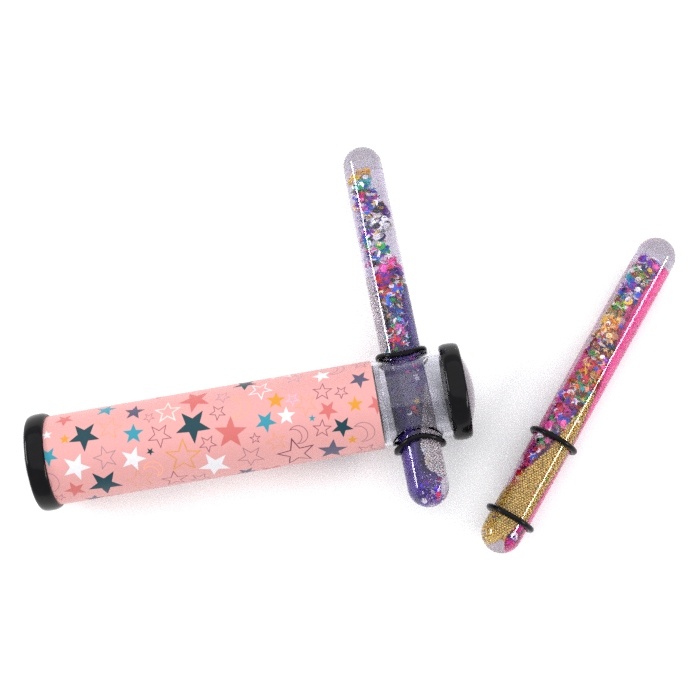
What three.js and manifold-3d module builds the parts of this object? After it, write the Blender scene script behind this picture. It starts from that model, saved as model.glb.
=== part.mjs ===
// A wand kaleidoscope lying on a table, with the spare wand of its set beside it.
//
// The kaleidoscope is a clear acrylic tube, wrapped in printed paper over the
// mirror chamber and left bare at the far end, where two opposite holes take an
// interchangeable glitter wand. A black bumper ring closes each end: the near one
// holds the eyepiece, the far one the domed light-gathering lens. Two O-rings on
// the wand sit on the rims of the holes and keep it in place.
//
// Units are millimetres, +Z is up and z = 0 is the table. +X runs along the tube
// from the eyepiece to the domed lens, and the origin is the centre of the
// assembly's bounding box, on the table.
import * as THREE from "three";
import { mergeVertices } from "three/addons/utils/BufferGeometryUtils.js";
import Module from "manifold-3d";

// ---- Driving dimensions -------------------------------------------------------
const ORIGIN_X = 130.909; // row origin, measured from the near bumper's outer face
const ORIGIN_Y = 21.194; // row origin, measured from the tube's axis

const BUMPER_R = 19.2; // the tube rests on its two bumpers
const BUMPER_W = 7.5;
const TUBE_R = 17.0;
const TUBE_WALL = 1.5;
const TUBE_X0 = 1.9;
const TUBE_X1 = 168.0;
const WRAP_GAP = 0.1;
const WRAP_T = 0.35;
const WRAP_X1 = 135.65; // the printed wrap ends here and the clear chamber begins
const LINER_T = 0.45;
const LINER_X0 = 5.4;
const LINER_X1 = 136.35;
const FAR_BUMPER_X0 = 162.5;

const EYE_HOLE_R = 5.0;
const EYE_LIP_R = 13.1;
const EYE_FACE_X = -1.7; // the eyepiece disc stands this far out of its bumper
const LENS_R = 14.0;
const LENS_SPHERE_R = 30.5;
const LENS_APEX_X = 173.6;
const LENS_FLANGE = [165.8, 167.9];

const MIRROR_T = 1.8;
const MIRROR_W = 22.2;
const MIRROR_D = 6.5; // tube axis to the reflecting face
const MIRROR_X0 = 6.2;
const MIRROR_X1 = 134.4;
const COLLAR_W = 9.0;

const WAND_X = 148.5; // where the wand's axis crosses the tube's axis
const WAND_R = 8.0;
const WAND_BORE_R = 6.8;
const WAND_HOLE_R = 9.5; // holes through the acrylic tube
const WAND_YAW = 1.38; // degrees that the loose fit lets the wand stand off square to the tube
const WAND_LONG = 107.8; // tube axis to the plugged tip
const WAND_SHORT = 43.2; // tube axis to the round tip
const PLUG_DEPTH = 11.0; // tip to the inner face of the plug

const ORING_MAJOR = 9.2;
const ORING_MINOR = 1.05;
const ORING_SEAT = 18.5; // tube axis to the O-ring's centre where it sits on the rim
const SHORT_RING_GAP = 1.2; // the short side's O-ring stands this far off its seat

const SPARE_LENGTH = 143.0;
const SPARE_TIP = [169.55, -62.9]; // round tip of the spare wand in plan, from the same datum as ORIGIN
const SPARE_BEARING = 50.41; // degrees from +X to the spare wand's plugged end
const SPARE_RING_LOW = 14.6; // O-ring centres from the round tip
const SPARE_RING_HIGH = 49.7;

const SEG = 48;

// The long side of the wand hangs down until its tip touches the table.
const WAND_TILT = Math.asin(
  (BUMPER_R - WAND_R) / ((WAND_LONG - WAND_R) * Math.cos((WAND_YAW * Math.PI) / 180)),
);
// The spare wand leans on its upper O-ring and its plugged tip.
const SPARE_SLOPE = Math.asin(
  (ORING_MAJOR + ORING_MINOR - WAND_R) / (SPARE_LENGTH - WAND_R - SPARE_RING_HIGH),
);

// ---- Helpers --------------------------------------------------------------------
const wasm = await Module();
wasm.setup();

function solid(geometry) {
  const g = geometry.clone();
  g.deleteAttribute("normal");
  g.deleteAttribute("uv");
  const m = mergeVertices(g, 1e-4);
  return new wasm.Manifold(
    new wasm.Mesh({
      numProp: 3,
      vertProperties: new Float32Array(m.attributes.position.array),
      triVerts: new Uint32Array(m.index.array),
    }),
  );
}

function geometryOf(manifold) {
  const m = manifold.getMesh();
  const g = new THREE.BufferGeometry();
  const v = new Float32Array(m.numVert * 3);
  for (let i = 0; i < m.numVert; i++)
    v.set(m.vertProperties.subarray(i * m.numProp, i * m.numProp + 3), i * 3);
  g.setAttribute("position", new THREE.BufferAttribute(v, 3));
  g.setIndex(new THREE.BufferAttribute(new Uint32Array(m.triVerts), 1));
  return g;
}

// A body of revolution about X, from [x, r] pairs that run along the outside first.
function turnedX(profile, segments = SEG) {
  const g = new THREE.LatheGeometry(
    profile.map(([x, r]) => new THREE.Vector2(r, x)),
    segments,
  );
  g.rotateZ(-Math.PI / 2);
  return g;
}

// A body of revolution about Y, from [y, r] pairs.
function turnedY(profile, segments = 32) {
  return new THREE.LatheGeometry(
    profile.map(([y, r]) => new THREE.Vector2(r, y)),
    segments,
  );
}

function sleeve(x0, x1, r0, r1) {
  return turnedX([
    [x0, r0],
    [x0, r1],
    [x1, r1],
    [x1, r0],
    [x0, r0],
  ]);
}

function disc(x0, x1, r) {
  return turnedX([
    [x0, 0],
    [x0, r],
    [x1, r],
    [x1, 0],
  ]);
}

const arc = (cy, r, a0, a1, n) =>
  Array.from({ length: n + 1 }, (_, i) => {
    const a = a0 + ((a1 - a0) * i) / n;
    return [cy + r * Math.sin(a), r * Math.cos(a)];
  });

function material(color, roughness, metalness = 0, opacity = 1) {
  return new THREE.MeshStandardMaterial({
    color,
    roughness,
    metalness,
    transparent: opacity < 1,
    opacity,
  });
}

function mesh(name, geometry, mat) {
  const m = new THREE.Mesh(geometry, mat);
  m.name = name;
  return m;
}

const CLEAR = [0xf2f0f7, 0.04, 0, 0.3];
const BLACK_GLOSS = [0x14161a, 0.12];

// ---- The kaleidoscope's own tube --------------------------------------------------
const scope = new THREE.Group();

const bare = solid(sleeve(TUBE_X0, TUBE_X1, TUBE_R - TUBE_WALL, TUBE_R));
const drill = new THREE.CylinderGeometry(WAND_HOLE_R, WAND_HOLE_R, 60, 40);
drill.translate(WAND_X, 0, 0);
scope.add(
  mesh("body_tube", geometryOf(bare.subtract(solid(drill))), material(...CLEAR)),
);

scope.add(
  mesh(
    "printed_wrap",
    sleeve(TUBE_X0, WRAP_X1, TUBE_R + WRAP_GAP, TUBE_R + WRAP_GAP + WRAP_T),
    material(0xf6a9a6, 0.35),
  ),
);
scope.add(
  mesh(
    "liner_sleeve",
    sleeve(LINER_X0, LINER_X1, TUBE_R - TUBE_WALL - 0.15 - LINER_T, TUBE_R - TUBE_WALL - 0.15),
    material(0x1b1b1e, 0.8),
  ),
);

// A bumper's half-round section: it bulges past the tube and turns in over its end.
// side is -1 for the near bumper, whose lip is at x0, and 1 for the far one.
function bumper(x0, bore, lip, side) {
  const n = 8;
  const mid = x0 + BUMPER_W / 2;
  const flank = 17.75;
  const outside = Array.from({ length: n + 1 }, (_, i) => {
    const a = Math.PI - (Math.PI * i) / n;
    return [mid + (BUMPER_W / 2) * Math.cos(a), flank + (BUMPER_R - flank) * Math.sin(a)];
  });
  const lipDepth = 1.7;
  const near = x0;
  const far = x0 + BUMPER_W;
  const inner =
    side < 0
      ? [
          [far, bore],
          [near + lipDepth, bore],
          [near + lipDepth, lip],
          [near + 0.5, lip],
          [near, lip + 0.5],
        ]
      : [
          [far, lip + 0.5],
          [far - 0.5, lip],
          [far - lipDepth, lip],
          [far - lipDepth, bore],
          [near, bore],
        ];
  return turnedX([...outside, ...inner, outside[0]]);
}

scope.add(
  mesh(
    "eyepiece_bumper",
    bumper(0, TUBE_R + WRAP_GAP + WRAP_T + 0.1, EYE_LIP_R, -1),
    material(...BLACK_GLOSS),
  ),
);
scope.add(
  mesh("lens_bumper", bumper(FAR_BUMPER_X0, TUBE_R + 0.1, LENS_R + 0.15, 1), material(...BLACK_GLOSS)),
);

// The eyepiece: a black stepped disc with the viewing hole, and a clear window behind it.
scope.add(
  mesh(
    "eyepiece_disc",
    turnedX([
      [EYE_FACE_X, EYE_HOLE_R + 0.6],
      [EYE_FACE_X, 10.2],
      [EYE_FACE_X + 0.15, 11.6],
      [EYE_FACE_X + 0.8, 12.5],
      [EYE_FACE_X + 1.9, EYE_LIP_R - 0.2],
      [1.9, EYE_LIP_R - 0.2],
      [1.9, 15.25],
      [3.4, 15.25],
      [3.4, EYE_HOLE_R],
      [EYE_FACE_X + 0.6, EYE_HOLE_R],
      [EYE_FACE_X, EYE_HOLE_R + 0.6],
    ]),
    material(0x101114, 0.3),
  ),
);
scope.add(mesh("eyepiece_window", disc(3.6, 5.2, 15.25), material(...CLEAR)));
scope.add(mesh("object_window", disc(136.55, 138.35, 15.3), material(0xdfeee6, 0.04, 0, 0.3)));

// The domed lens: a flange inside the tube and a shallow convex face through the bumper.
{
  const edge = LENS_APEX_X - LENS_SPHERE_R + Math.sqrt(LENS_SPHERE_R ** 2 - LENS_R ** 2);
  const n = 8;
  const half = Math.asin(LENS_R / LENS_SPHERE_R);
  const dome = Array.from({ length: n + 1 }, (_, i) => {
    const a = half * (1 - i / n);
    return [
      LENS_APEX_X - LENS_SPHERE_R + LENS_SPHERE_R * Math.cos(a),
      i === n ? 0 : LENS_SPHERE_R * Math.sin(a),
    ];
  });
  dome[0] = [edge, LENS_R];
  scope.add(
    mesh(
      "end_lens",
      turnedX([[LENS_FLANGE[0], 0], [LENS_FLANGE[0], 15.3], [LENS_FLANGE[1], 15.3], [LENS_FLANGE[1], LENS_R], ...dome]),
      material(0xeadfe8, 0.05, 0, 0.35),
    ),
  );
}

// Three mirror strips facing inwards, and two card collars that centre them.
for (let k = 0; k < 3; k++) {
  const strip = new THREE.BoxGeometry(MIRROR_X1 - MIRROR_X0, MIRROR_W, MIRROR_T);
  strip.translate((MIRROR_X0 + MIRROR_X1) / 2, 0, -(MIRROR_D + MIRROR_T / 2));
  const m = mesh(["mirror_base", "mirror_left", "mirror_right"][k], strip, material(0xdfe3e6, 0.05, 1));
  m.rotation.x = (k * 2 * Math.PI) / 3;
  scope.add(m);
}
function collar(x0) {
  const rim = TUBE_R - TUBE_WALL - 0.15 - LINER_T - 0.15;
  const outline = new THREE.Shape();
  const reach = 2 * (MIRROR_D + MIRROR_T + 0.25);
  for (let k = 0; k < 3; k++) {
    // corners point away from the mirrors' middles
    const a = Math.PI / 2 + (k * 2 * Math.PI) / 3;
    if (k) outline.lineTo(reach * Math.cos(a), reach * Math.sin(a));
    else outline.moveTo(reach * Math.cos(a), reach * Math.sin(a));
  }
  outline.closePath();
  const prism = new THREE.ExtrudeGeometry(outline, { depth: COLLAR_W + 4, bevelEnabled: false });
  // shape x -> +Y, shape y -> +Z, extrusion -> +X
  prism.applyMatrix4(
    new THREE.Matrix4().set(0, 0, 1, x0 - 2, 1, 0, 0, 0, 0, 1, 0, 0, 0, 0, 0, 1),
  );
  const bore = solid(prism).intersect(solid(disc(x0 - 3, x0 + COLLAR_W + 3, rim - 0.55)));
  return geometryOf(solid(disc(x0, x0 + COLLAR_W, rim)).subtract(bore));
}
scope.add(mesh("prism_collar_near", collar(14), material(0x2a2a2c, 0.95)));
scope.add(mesh("prism_collar_far", collar(118), material(0x2a2a2c, 0.95)));

// ---- Wands ------------------------------------------------------------------------
// A wand along Y, round tip at y = tip and plugged tip at y = tip + length.
function wand(prefix, tip, length, colours) {
  const g = new THREE.Group();
  const top = tip + length;
  const low = tip + WAND_R; // centre of the round tip
  const domeY = top - WAND_R; // centre of the plug's dome
  g.add(
    mesh(
      prefix + "_tube",
      turnedY([
        ...arc(low, WAND_R, -Math.PI / 2, 0, 6).map(([y, r], i) => [y, i ? r : 0]),
        [domeY - 0.3, WAND_R],
        [domeY - 0.3, WAND_BORE_R],
        ...arc(low, WAND_BORE_R, 0, -Math.PI / 2, 5).map(([y, r], i) => [y, i === 5 ? 0 : r]),
      ]),
      material(...CLEAR),
    ),
  );
  g.add(
    mesh(
      prefix + "_plug",
      turnedY([
        [top - PLUG_DEPTH, 0],
        [top - PLUG_DEPTH, WAND_BORE_R - 0.15],
        [domeY, WAND_BORE_R - 0.15],
        ...arc(domeY, WAND_R, 0, Math.PI / 2, 6).map(([y, r], i) => [y, i === 6 ? 0 : r]),
      ]),
      material(...CLEAR),
    ),
  );
  // The filling, as settled layers of one column: beads and glitter below, foil
  // shapes in the middle, liquid above.
  const r = WAND_BORE_R - 0.3;
  const column = solid(
    turnedY(
      [
        ...arc(low, r, -Math.PI / 2, 0, 5).map(([y, q], i) => [y, i ? q : 0]),
        [top - PLUG_DEPTH - 0.3, r],
        [top - PLUG_DEPTH - 0.3, 0],
      ],
      24,
    ),
  );
  const layer = (y0, y1, z0, z1) => {
    const b = new THREE.BoxGeometry(30, y1 - y0, z1 - z0);
    b.translate(0, (y0 + y1) / 2, (z0 + z1) / 2);
    return geometryOf(column.intersect(solid(b)));
  };
  g.add(mesh(prefix + "_beads", layer(tip - 1, tip + 62, -12, -1.5), colours.beads));
  g.add(mesh(prefix + "_glitter", layer(tip + 62.3, top, -12, -1.5), colours.glitter));
  g.add(mesh(prefix + "_foil_shapes", layer(tip - 1, top, -1.2, 2.0), colours.foil));
  g.add(mesh(prefix + "_liquid", layer(tip - 1, top, 2.3, 12), colours.liquid));
  return g;
}

// An O-ring about Y at height y; on a rim it takes the tube's saddle shape.
function oring(name, y, seat) {
  const g = new THREE.TorusGeometry(ORING_MAJOR, ORING_MINOR, 8, 32);
  g.rotateX(Math.PI / 2);
  if (seat) {
    const p = g.attributes.position;
    for (let i = 0; i < p.count; i++) {
      // the ring's own centre line at this bearing fixes the drop
      const z = ORING_MAJOR * Math.sin(Math.atan2(p.getZ(i), p.getX(i)));
      const h = Math.sqrt(ORING_SEAT ** 2 - z * z) - ORING_SEAT;
      p.setY(i, p.getY(i) + Math.sign(y) * h);
    }
  }
  g.translate(0, y, 0);
  return mesh(name, g, material(0x17181b, 0.25));
}

const violet = {
  beads: material(0xc9c2c4, 0.25, 0.9),
  glitter: material(0x4a2f9c, 0.3, 0.6),
  foil: material(0x8a6cc0, 0.25, 0.8),
  liquid: material(0xece6f6, 0.05, 0, 0.3),
};
const magenta = {
  beads: material(0xd9a83a, 0.22, 0.95),
  glitter: material(0xd0298a, 0.3, 0.6),
  foil: material(0xc86aa0, 0.25, 0.8),
  liquid: material(0xfae6f2, 0.05, 0, 0.3),
};

const held = new THREE.Group();
held.add(wand("wand", -WAND_SHORT, WAND_LONG + WAND_SHORT, violet));
held.add(oring("oring_long_side", ORING_SEAT, true));
held.add(oring("oring_short_side", -ORING_SEAT - SHORT_RING_GAP, true));
held.position.x = WAND_X;
held.rotation.z = (WAND_YAW * Math.PI) / 180;

const kaleidoscope = new THREE.Group();
kaleidoscope.add(scope, held);
kaleidoscope.rotation.x = -WAND_TILT;
kaleidoscope.position.z = BUMPER_R;

// The spare wand: built along Y, laid down its bearing, leaning on one O-ring.
const spare = new THREE.Group();
spare.add(wand("spare_wand", 0, SPARE_LENGTH, magenta));
spare.add(oring("spare_oring_high", SPARE_RING_HIGH, false));
spare.add(oring("spare_oring_low", SPARE_RING_LOW, false));
const along = new THREE.Vector3(
  Math.cos((SPARE_BEARING * Math.PI) / 180) * Math.cos(SPARE_SLOPE),
  Math.sin((SPARE_BEARING * Math.PI) / 180) * Math.cos(SPARE_SLOPE),
  -Math.sin(SPARE_SLOPE),
);
const across = new THREE.Vector3().crossVectors(along, new THREE.Vector3(0, 0, 1)).normalize();
const above = new THREE.Vector3().crossVectors(across, along);
const turn = new THREE.Matrix4().makeBasis(across, along, above);
spare.quaternion.setFromRotationMatrix(turn);
spare.position.set(
  SPARE_TIP[0],
  SPARE_TIP[1],
  WAND_R + (SPARE_LENGTH - WAND_R) * Math.sin(SPARE_SLOPE),
);

const all = new THREE.Group();
all.add(kaleidoscope, spare);
all.position.set(-ORIGIN_X, -ORIGIN_Y, 0);

const root = new THREE.Group();
root.add(all);

export default root;
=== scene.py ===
import math
import random

import bpy
import numpy as np
from mathutils import Matrix, Vector
from mathutils.geometry import delaunay_2d_cdt


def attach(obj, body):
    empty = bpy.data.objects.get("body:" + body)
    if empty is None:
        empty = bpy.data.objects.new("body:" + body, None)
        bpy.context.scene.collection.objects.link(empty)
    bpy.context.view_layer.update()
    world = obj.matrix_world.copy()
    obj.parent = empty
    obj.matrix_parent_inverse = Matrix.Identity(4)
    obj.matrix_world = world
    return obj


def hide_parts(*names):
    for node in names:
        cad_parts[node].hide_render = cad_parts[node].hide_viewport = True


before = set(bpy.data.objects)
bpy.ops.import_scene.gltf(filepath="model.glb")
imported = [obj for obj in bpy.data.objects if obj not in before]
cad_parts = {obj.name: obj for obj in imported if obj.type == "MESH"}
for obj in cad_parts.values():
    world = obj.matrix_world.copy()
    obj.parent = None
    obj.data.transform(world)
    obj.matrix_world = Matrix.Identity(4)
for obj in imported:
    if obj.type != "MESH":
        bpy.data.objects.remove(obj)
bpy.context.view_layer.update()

rng = random.Random(20417)
nrg = np.random.default_rng(20417)
PI, TAU = math.pi, 2 * math.pi

# ---------------------------------------------------------------------------------
# Frames, in millimetres. Scope: x along the tube from the near bumper's outer face,
# y along the wand's long side, z up through the tube. Wands: y along the wand.
# ---------------------------------------------------------------------------------
BUMPER_R, TUBE_R, WALL = 19.2, 17.0, 1.5
WAND_R, BORE_R = 8.0, 6.8
WAND_X, LONG, SHORT, PLUG = 148.5, 107.8, 43.2, 11.0
SPARE_LEN = 143.0
ORIGIN = np.array([130.909, 21.194, 0.0])
YAW = math.radians(1.38)
TILT = math.asin((BUMPER_R - WAND_R) / ((LONG - WAND_R) * math.cos(YAW)))
SLOPE = math.asin((10.25 - WAND_R) / (SPARE_LEN - WAND_R - 49.7))
BEARING = math.radians(50.41)


class Place:
    """A right-handed frame in world millimetres."""

    def __init__(self, origin, x, y, z):
        self.o = np.array(origin, float)
        self.m = np.array([x, y, z], float)

    def pts(self, p):
        return np.asarray(p, float) @ self.m + self.o

    def vec(self, n):
        return np.asarray(n, float) @ self.m

    def local(self, p):
        return (np.asarray(p, float) - self.o) @ self.m.T


ct, st = math.cos(TILT), math.sin(TILT)
SCOPE = Place(np.array([0, 0, BUMPER_R]) - ORIGIN, (1, 0, 0), (0, ct, -st), (0, st, ct))
_hx, _hy = np.array((1.0, 0, 0)), np.array((0, ct, -st))
HELD = Place(SCOPE.pts((WAND_X, 0, 0)), math.cos(YAW) * _hx + math.sin(YAW) * _hy, math.cos(YAW) * _hy - math.sin(YAW) * _hx, (0, st, ct))
_al = np.array([math.cos(BEARING) * math.cos(SLOPE), math.sin(BEARING) * math.cos(SLOPE), -math.sin(SLOPE)])
_ac = np.cross(_al, (0, 0, 1))
_ac /= np.linalg.norm(_ac)
_ab = np.cross(_ac, _al)
SPARE = Place(np.array([169.55, -62.9, WAND_R + (SPARE_LEN - WAND_R) * math.sin(SLOPE)]) - ORIGIN, _ac, _al, _ab)


# ---------------------------------------------------------------------------------
# Mesh building
# ---------------------------------------------------------------------------------
class Surf:
    """Triangles gathered in a local frame, with exact normals and a colour per corner."""

    def __init__(self):
        self.v, self.t, self.n, self.c, self.k = [], [], [], [], []
        self.count = 0

    def add(self, v, t, n=None, c=(1, 1, 1), k=0):
        v = np.asarray(v, float).reshape(-1, 3)
        t = np.asarray(t, int).reshape(-1, 3)
        if n is None:  # flat faces
            a, b, d = v[t[:, 0]], v[t[:, 1]], v[t[:, 2]]
            fn = np.cross(b - a, d - a)
            fn /= np.maximum(np.linalg.norm(fn, axis=1, keepdims=True), 1e-12)
            ln = np.repeat(fn[:, None], 3, 1)
        else:
            ln = np.asarray(n, float).reshape(-1, 3)[t]
            a, b, d = v[t[:, 0]], v[t[:, 1]], v[t[:, 2]]
            flip = (np.cross(b - a, d - a) * ln.sum(1)).sum(1) < 0
            t = t.copy()
            t[flip] = t[flip][:, ::-1]
            ln[flip] = ln[flip][:, ::-1]
        c = np.asarray(c, float)
        if c.ndim == 1:
            lc = np.tile(c, (len(t), 3, 1))
        elif len(c) == len(t):
            lc = np.repeat(c[:, None], 3, 1)
        else:
            lc = c[t]
        self.v.append(v)
        self.t.append(t + self.count)
        self.n.append(ln)
        self.c.append(lc)
        self.k.append(np.full(len(t), k) if np.isscalar(k) else np.asarray(k))
        self.count += len(v)

    def build(self, name, place, body, materials, replaces=(), slot=None, weld=True, colour=True, custom=True):
        v = np.concatenate(self.v)
        t = np.concatenate(self.t)
        n = np.concatenate(self.n)
        c = np.concatenate(self.c)
        k = np.concatenate(self.k)
        if weld:
            key = np.round(v * 2e4).astype(np.int64)
            _, first, inv = np.unique(key, axis=0, return_index=True, return_inverse=True)
            inv = inv.reshape(-1)
            v = v[first]
            t = inv[t]
            good = (t[:, 0] != t[:, 1]) & (t[:, 1] != t[:, 2]) & (t[:, 0] != t[:, 2])
            t, n, c, k = t[good], n[good], c[good], k[good]
        n = place.vec(n.reshape(-1, 3))
        n /= np.maximum(np.linalg.norm(n, axis=1, keepdims=True), 1e-12)
        w = place.pts(v) * 1e-3
        me = bpy.data.meshes.new(name)
        me.vertices.add(len(w))
        me.vertices.foreach_set("co", w.astype(np.float32).ravel())
        me.loops.add(len(t) * 3)
        me.loops.foreach_set("vertex_index", t.astype(np.int32).ravel())
        me.polygons.add(len(t))
        me.polygons.foreach_set("loop_start", np.arange(0, len(t) * 3, 3, dtype=np.int32))
        me.polygons.foreach_set("material_index", k.astype(np.int32))
        me.update(calc_edges=True)
        if colour:
            at = me.color_attributes.new("ink", "FLOAT_COLOR", "CORNER")
            rgba = np.ones((len(t) * 3, 4), np.float32)
            rgba[:, :3] = c.reshape(-1, 3)
            at.data.foreach_set("color", rgba.ravel())
        me.polygons.foreach_set("use_smooth", np.ones(len(t), bool))
        if custom:
            me.normals_split_custom_set(n.tolist())
        return finish_piece(me, name, body, materials, replaces)


def finish_piece(me, name, body, materials, replaces=()):
    ob = bpy.data.objects.new(name, me)
    bpy.context.scene.collection.objects.link(ob)
    for m in materials if isinstance(materials, (list, tuple)) else [materials]:
        me.materials.append(m)
    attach(ob, body)
    if replaces:
        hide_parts(*replaces)
    return ob


def lathe_rings(profile, seg, wob=None):
    """Points of a body of revolution about the first coordinate of its (x, r) profile."""
    rings = []
    for i, (x, r) in enumerate(profile):
        if r < 1e-7:
            rings.append(np.array([[x, 0.0, 0.0]]))
            continue
        a = np.arange(seg) * TAU / seg
        rr = np.full(seg, r)
        xx = np.full(seg, float(x))
        if wob is not None:
            dx, dr = wob(x, r, a)
            xx = xx + dx
            rr = rr + dr
        rings.append(np.stack([xx, rr * np.cos(a), rr * np.sin(a)], 1))
    return rings


def lathe(name, profile, place, body, material, seg=160, axis="x", closed=False, wob=None, sharp=32, replaces=(), shift=(0, 0, 0)):
    """A closed turned piece. The profile ends on the axis, or closed=True joins its ends."""
    pts = list(profile)
    rings = lathe_rings(pts, seg, wob)
    v, idx = [], []
    c = 0
    for r in rings:
        idx.append(np.arange(c, c + len(r)))
        v.append(r)
        c += len(r)
    v = np.concatenate(v)
    faces = []
    pairs = list(zip(range(len(rings) - 1), range(1, len(rings))))
    if closed:
        pairs.append((len(rings) - 1, 0))
    for i, j in pairs:
        a, b = idx[i], idx[j]
        for s in range(seg):
            q = (s + 1) % seg
            if len(a) == 1 and len(b) == 1:
                continue
            if len(a) == 1:
                faces.append((a[0], b[q], b[s]))
            elif len(b) == 1:
                faces.append((a[s], a[q], b[0]))
            else:
                faces.append((a[s], a[q], b[q], b[s]))
    area = 0.0
    loop = pts + [pts[0]]
    for (x0, r0), (x1, r1) in zip(loop[:-1], loop[1:]):
        area += x0 * r1 - x1 * r0
    if area > 0:
        faces = [f[::-1] for f in faces]
    if axis == "y":  # turn the profile's axis on to y, keeping the handedness
        v = np.stack([v[:, 1], v[:, 0], -v[:, 2]], 1)
    v = v + np.array(shift)
    me = bpy.data.meshes.new(name)
    me.from_pydata((place.pts(v) * 1e-3).tolist(), [], [[int(i) for i in f] for f in faces])
    me.update()
    me.polygons.foreach_set("use_smooth", np.ones(len(me.polygons), bool))
    me.set_sharp_from_angle(angle=math.radians(sharp))
    return finish_piece(me, name, body, material, replaces)


def arc(cx, cr, r, a0, a1, n):
    """Points (cx + r cos a, cr + r sin a) with a in degrees."""
    return [
        (cx + r * math.cos(math.radians(a0 + (a1 - a0) * i / n)), cr + r * math.sin(math.radians(a0 + (a1 - a0) * i / n)))
        for i in range(n + 1)
    ]


# ---------------------------------------------------------------------------------
# Materials
# ---------------------------------------------------------------------------------
def lin(r, g, b):
    def f(c):
        c /= 255.0
        return c / 12.92 if c <= 0.04045 else ((c + 0.055) / 1.055) ** 2.4

    return (f(r), f(g), f(b))


class Mat:
    def __init__(self, name):
        self.m = bpy.data.materials.new(name)
        self.m.use_nodes = True
        self.t = self.m.node_tree
        self.t.nodes.clear()
        self.out = self.t.nodes.new("ShaderNodeOutputMaterial")

    def n(self, kind, **values):
        node = self.t.nodes.new("ShaderNode" + kind)
        for key, value in values.items():
            if hasattr(node, key) and key not in node.inputs:
                setattr(node, key, value)
            else:
                sock = node.inputs[key.replace("_", " ")] if key.replace("_", " ") in node.inputs else node.inputs[key]
                if isinstance(value, bpy.types.NodeSocket):
                    self.t.links.new(value, sock)
                elif isinstance(value, tuple) and len(value) == 3 and sock.type == "RGBA":
                    sock.default_value = (*value, 1)
                else:
                    sock.default_value = value
        return node

    def link(self, a, b):
        self.t.links.new(a, b)

    def math(self, op, a, b=None, c=None, clamp=False):
        node = self.t.nodes.new("ShaderNodeMath")
        node.operation = op
        node.use_clamp = clamp
        for i, x in enumerate((a, b, c)):
            if x is None:
                continue
            if isinstance(x, bpy.types.NodeSocket):
                self.t.links.new(x, node.inputs[i])
            else:
                node.inputs[i].default_value = x
        return node.outputs[0]

    def mix(self, fac, a, b, blend="MIX"):
        node = self.t.nodes.new("ShaderNodeMix")
        node.data_type = "RGBA"
        node.blend_type = blend
        for i, x in ((0, fac), (6, a), (7, b)):
            if isinstance(x, bpy.types.NodeSocket):
                self.t.links.new(x, node.inputs[i])
            elif isinstance(x, tuple):
                node.inputs[i].default_value = (*x, 1)
            else:
                node.inputs[i].default_value = x
        return node.outputs[2]

    def ramp(self, fac, *stops, interp="LINEAR"):
        node = self.t.nodes.new("ShaderNodeValToRGB")
        node.color_ramp.interpolation = interp
        el = node.color_ramp.elements
        while len(el) < len(stops):
            el.new(0.5)
        for e, (p, col) in zip(el, stops):
            e.position = p
            e.color = (*col, 1) if isinstance(col, tuple) else (col, col, col, 1)
        self.link(fac, node.inputs[0])
        return node.outputs[0]

    def noise(self, scale, detail=2.0, rough=0.5, coord=None):
        node = self.t.nodes.new("ShaderNodeTexNoise")
        node.inputs["Scale"].default_value = scale
        node.inputs["Detail"].default_value = detail
        node.inputs["Roughness"].default_value = rough
        self.link(coord if coord is not None else self.coord(), node.inputs["Vector"])
        return node.outputs["Fac"]

    def coord(self):
        if not hasattr(self, "_c"):
            self._c = self.t.nodes.new("ShaderNodeTexCoord").outputs["Object"]
        return self._c

    def voronoi(self, scale, out="Distance", feature="F1", coord=None, rand=1.0):
        node = self.t.nodes.new("ShaderNodeTexVoronoi")
        node.feature = feature
        node.inputs["Scale"].default_value = scale
        node.inputs["Randomness"].default_value = rand
        self.link(coord if coord is not None else self.coord(), node.inputs["Vector"])
        return node.outputs[out]

    def bump(self, height, strength=0.2, distance=0.0001, normal=None):
        node = self.t.nodes.new("ShaderNodeBump")
        node.inputs["Strength"].default_value = strength
        node.inputs["Distance"].default_value = distance
        self.link(height, node.inputs["Height"])
        if normal is not None:
            self.link(normal, node.inputs["Normal"])
        return node.outputs[0]

    def principled(self, **values):
        node = self.t.nodes.new("ShaderNodeBsdfPrincipled")
        for key, value in values.items():
            sock = node.inputs[key.replace("_", " ")]
            if isinstance(value, bpy.types.NodeSocket):
                self.link(value, sock)
            elif isinstance(value, tuple) and len(value) == 3 and sock.type == "RGBA":
                sock.default_value = (*value, 1)
            else:
                sock.default_value = value
        self.link(node.outputs[0], self.out.inputs[0])
        return node


def clear_material(name, ior, tint=(0.985, 0.98, 0.99), rough=0.0, shadow=(0.9, 0.89, 0.92), wave=0.0, milk=0.0):
    """Glass that lets lamps through, with faint moulding waves."""
    m = Mat(name)
    waves = m.noise(160, 2.0)
    fine = m.noise(2400, 2.0)
    glass = m.n("BsdfPrincipled")
    glass.inputs["Base Color"].default_value = (*tint, 1)
    glass.inputs["Transmission Weight"].default_value = 1.0 - milk
    glass.inputs["IOR"].default_value = ior
    m.link(m.math("MULTIPLY_ADD", fine, 0.01, rough), glass.inputs["Roughness"])
    if wave:
        m.link(m.bump(waves, wave, 0.00006), glass.inputs["Normal"])
    see = m.n("BsdfTransparent")
    see.inputs[0].default_value = (*shadow, 1)
    path = m.t.nodes.new("ShaderNodeLightPath")
    mix = m.t.nodes.new("ShaderNodeMixShader")
    m.link(path.outputs["Is Shadow Ray"], mix.inputs[0])
    m.link(glass.outputs[0], mix.inputs[1])
    m.link(see.outputs[0], mix.inputs[2])
    m.link(mix.outputs[0], m.out.inputs[0])
    return m.m


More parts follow.
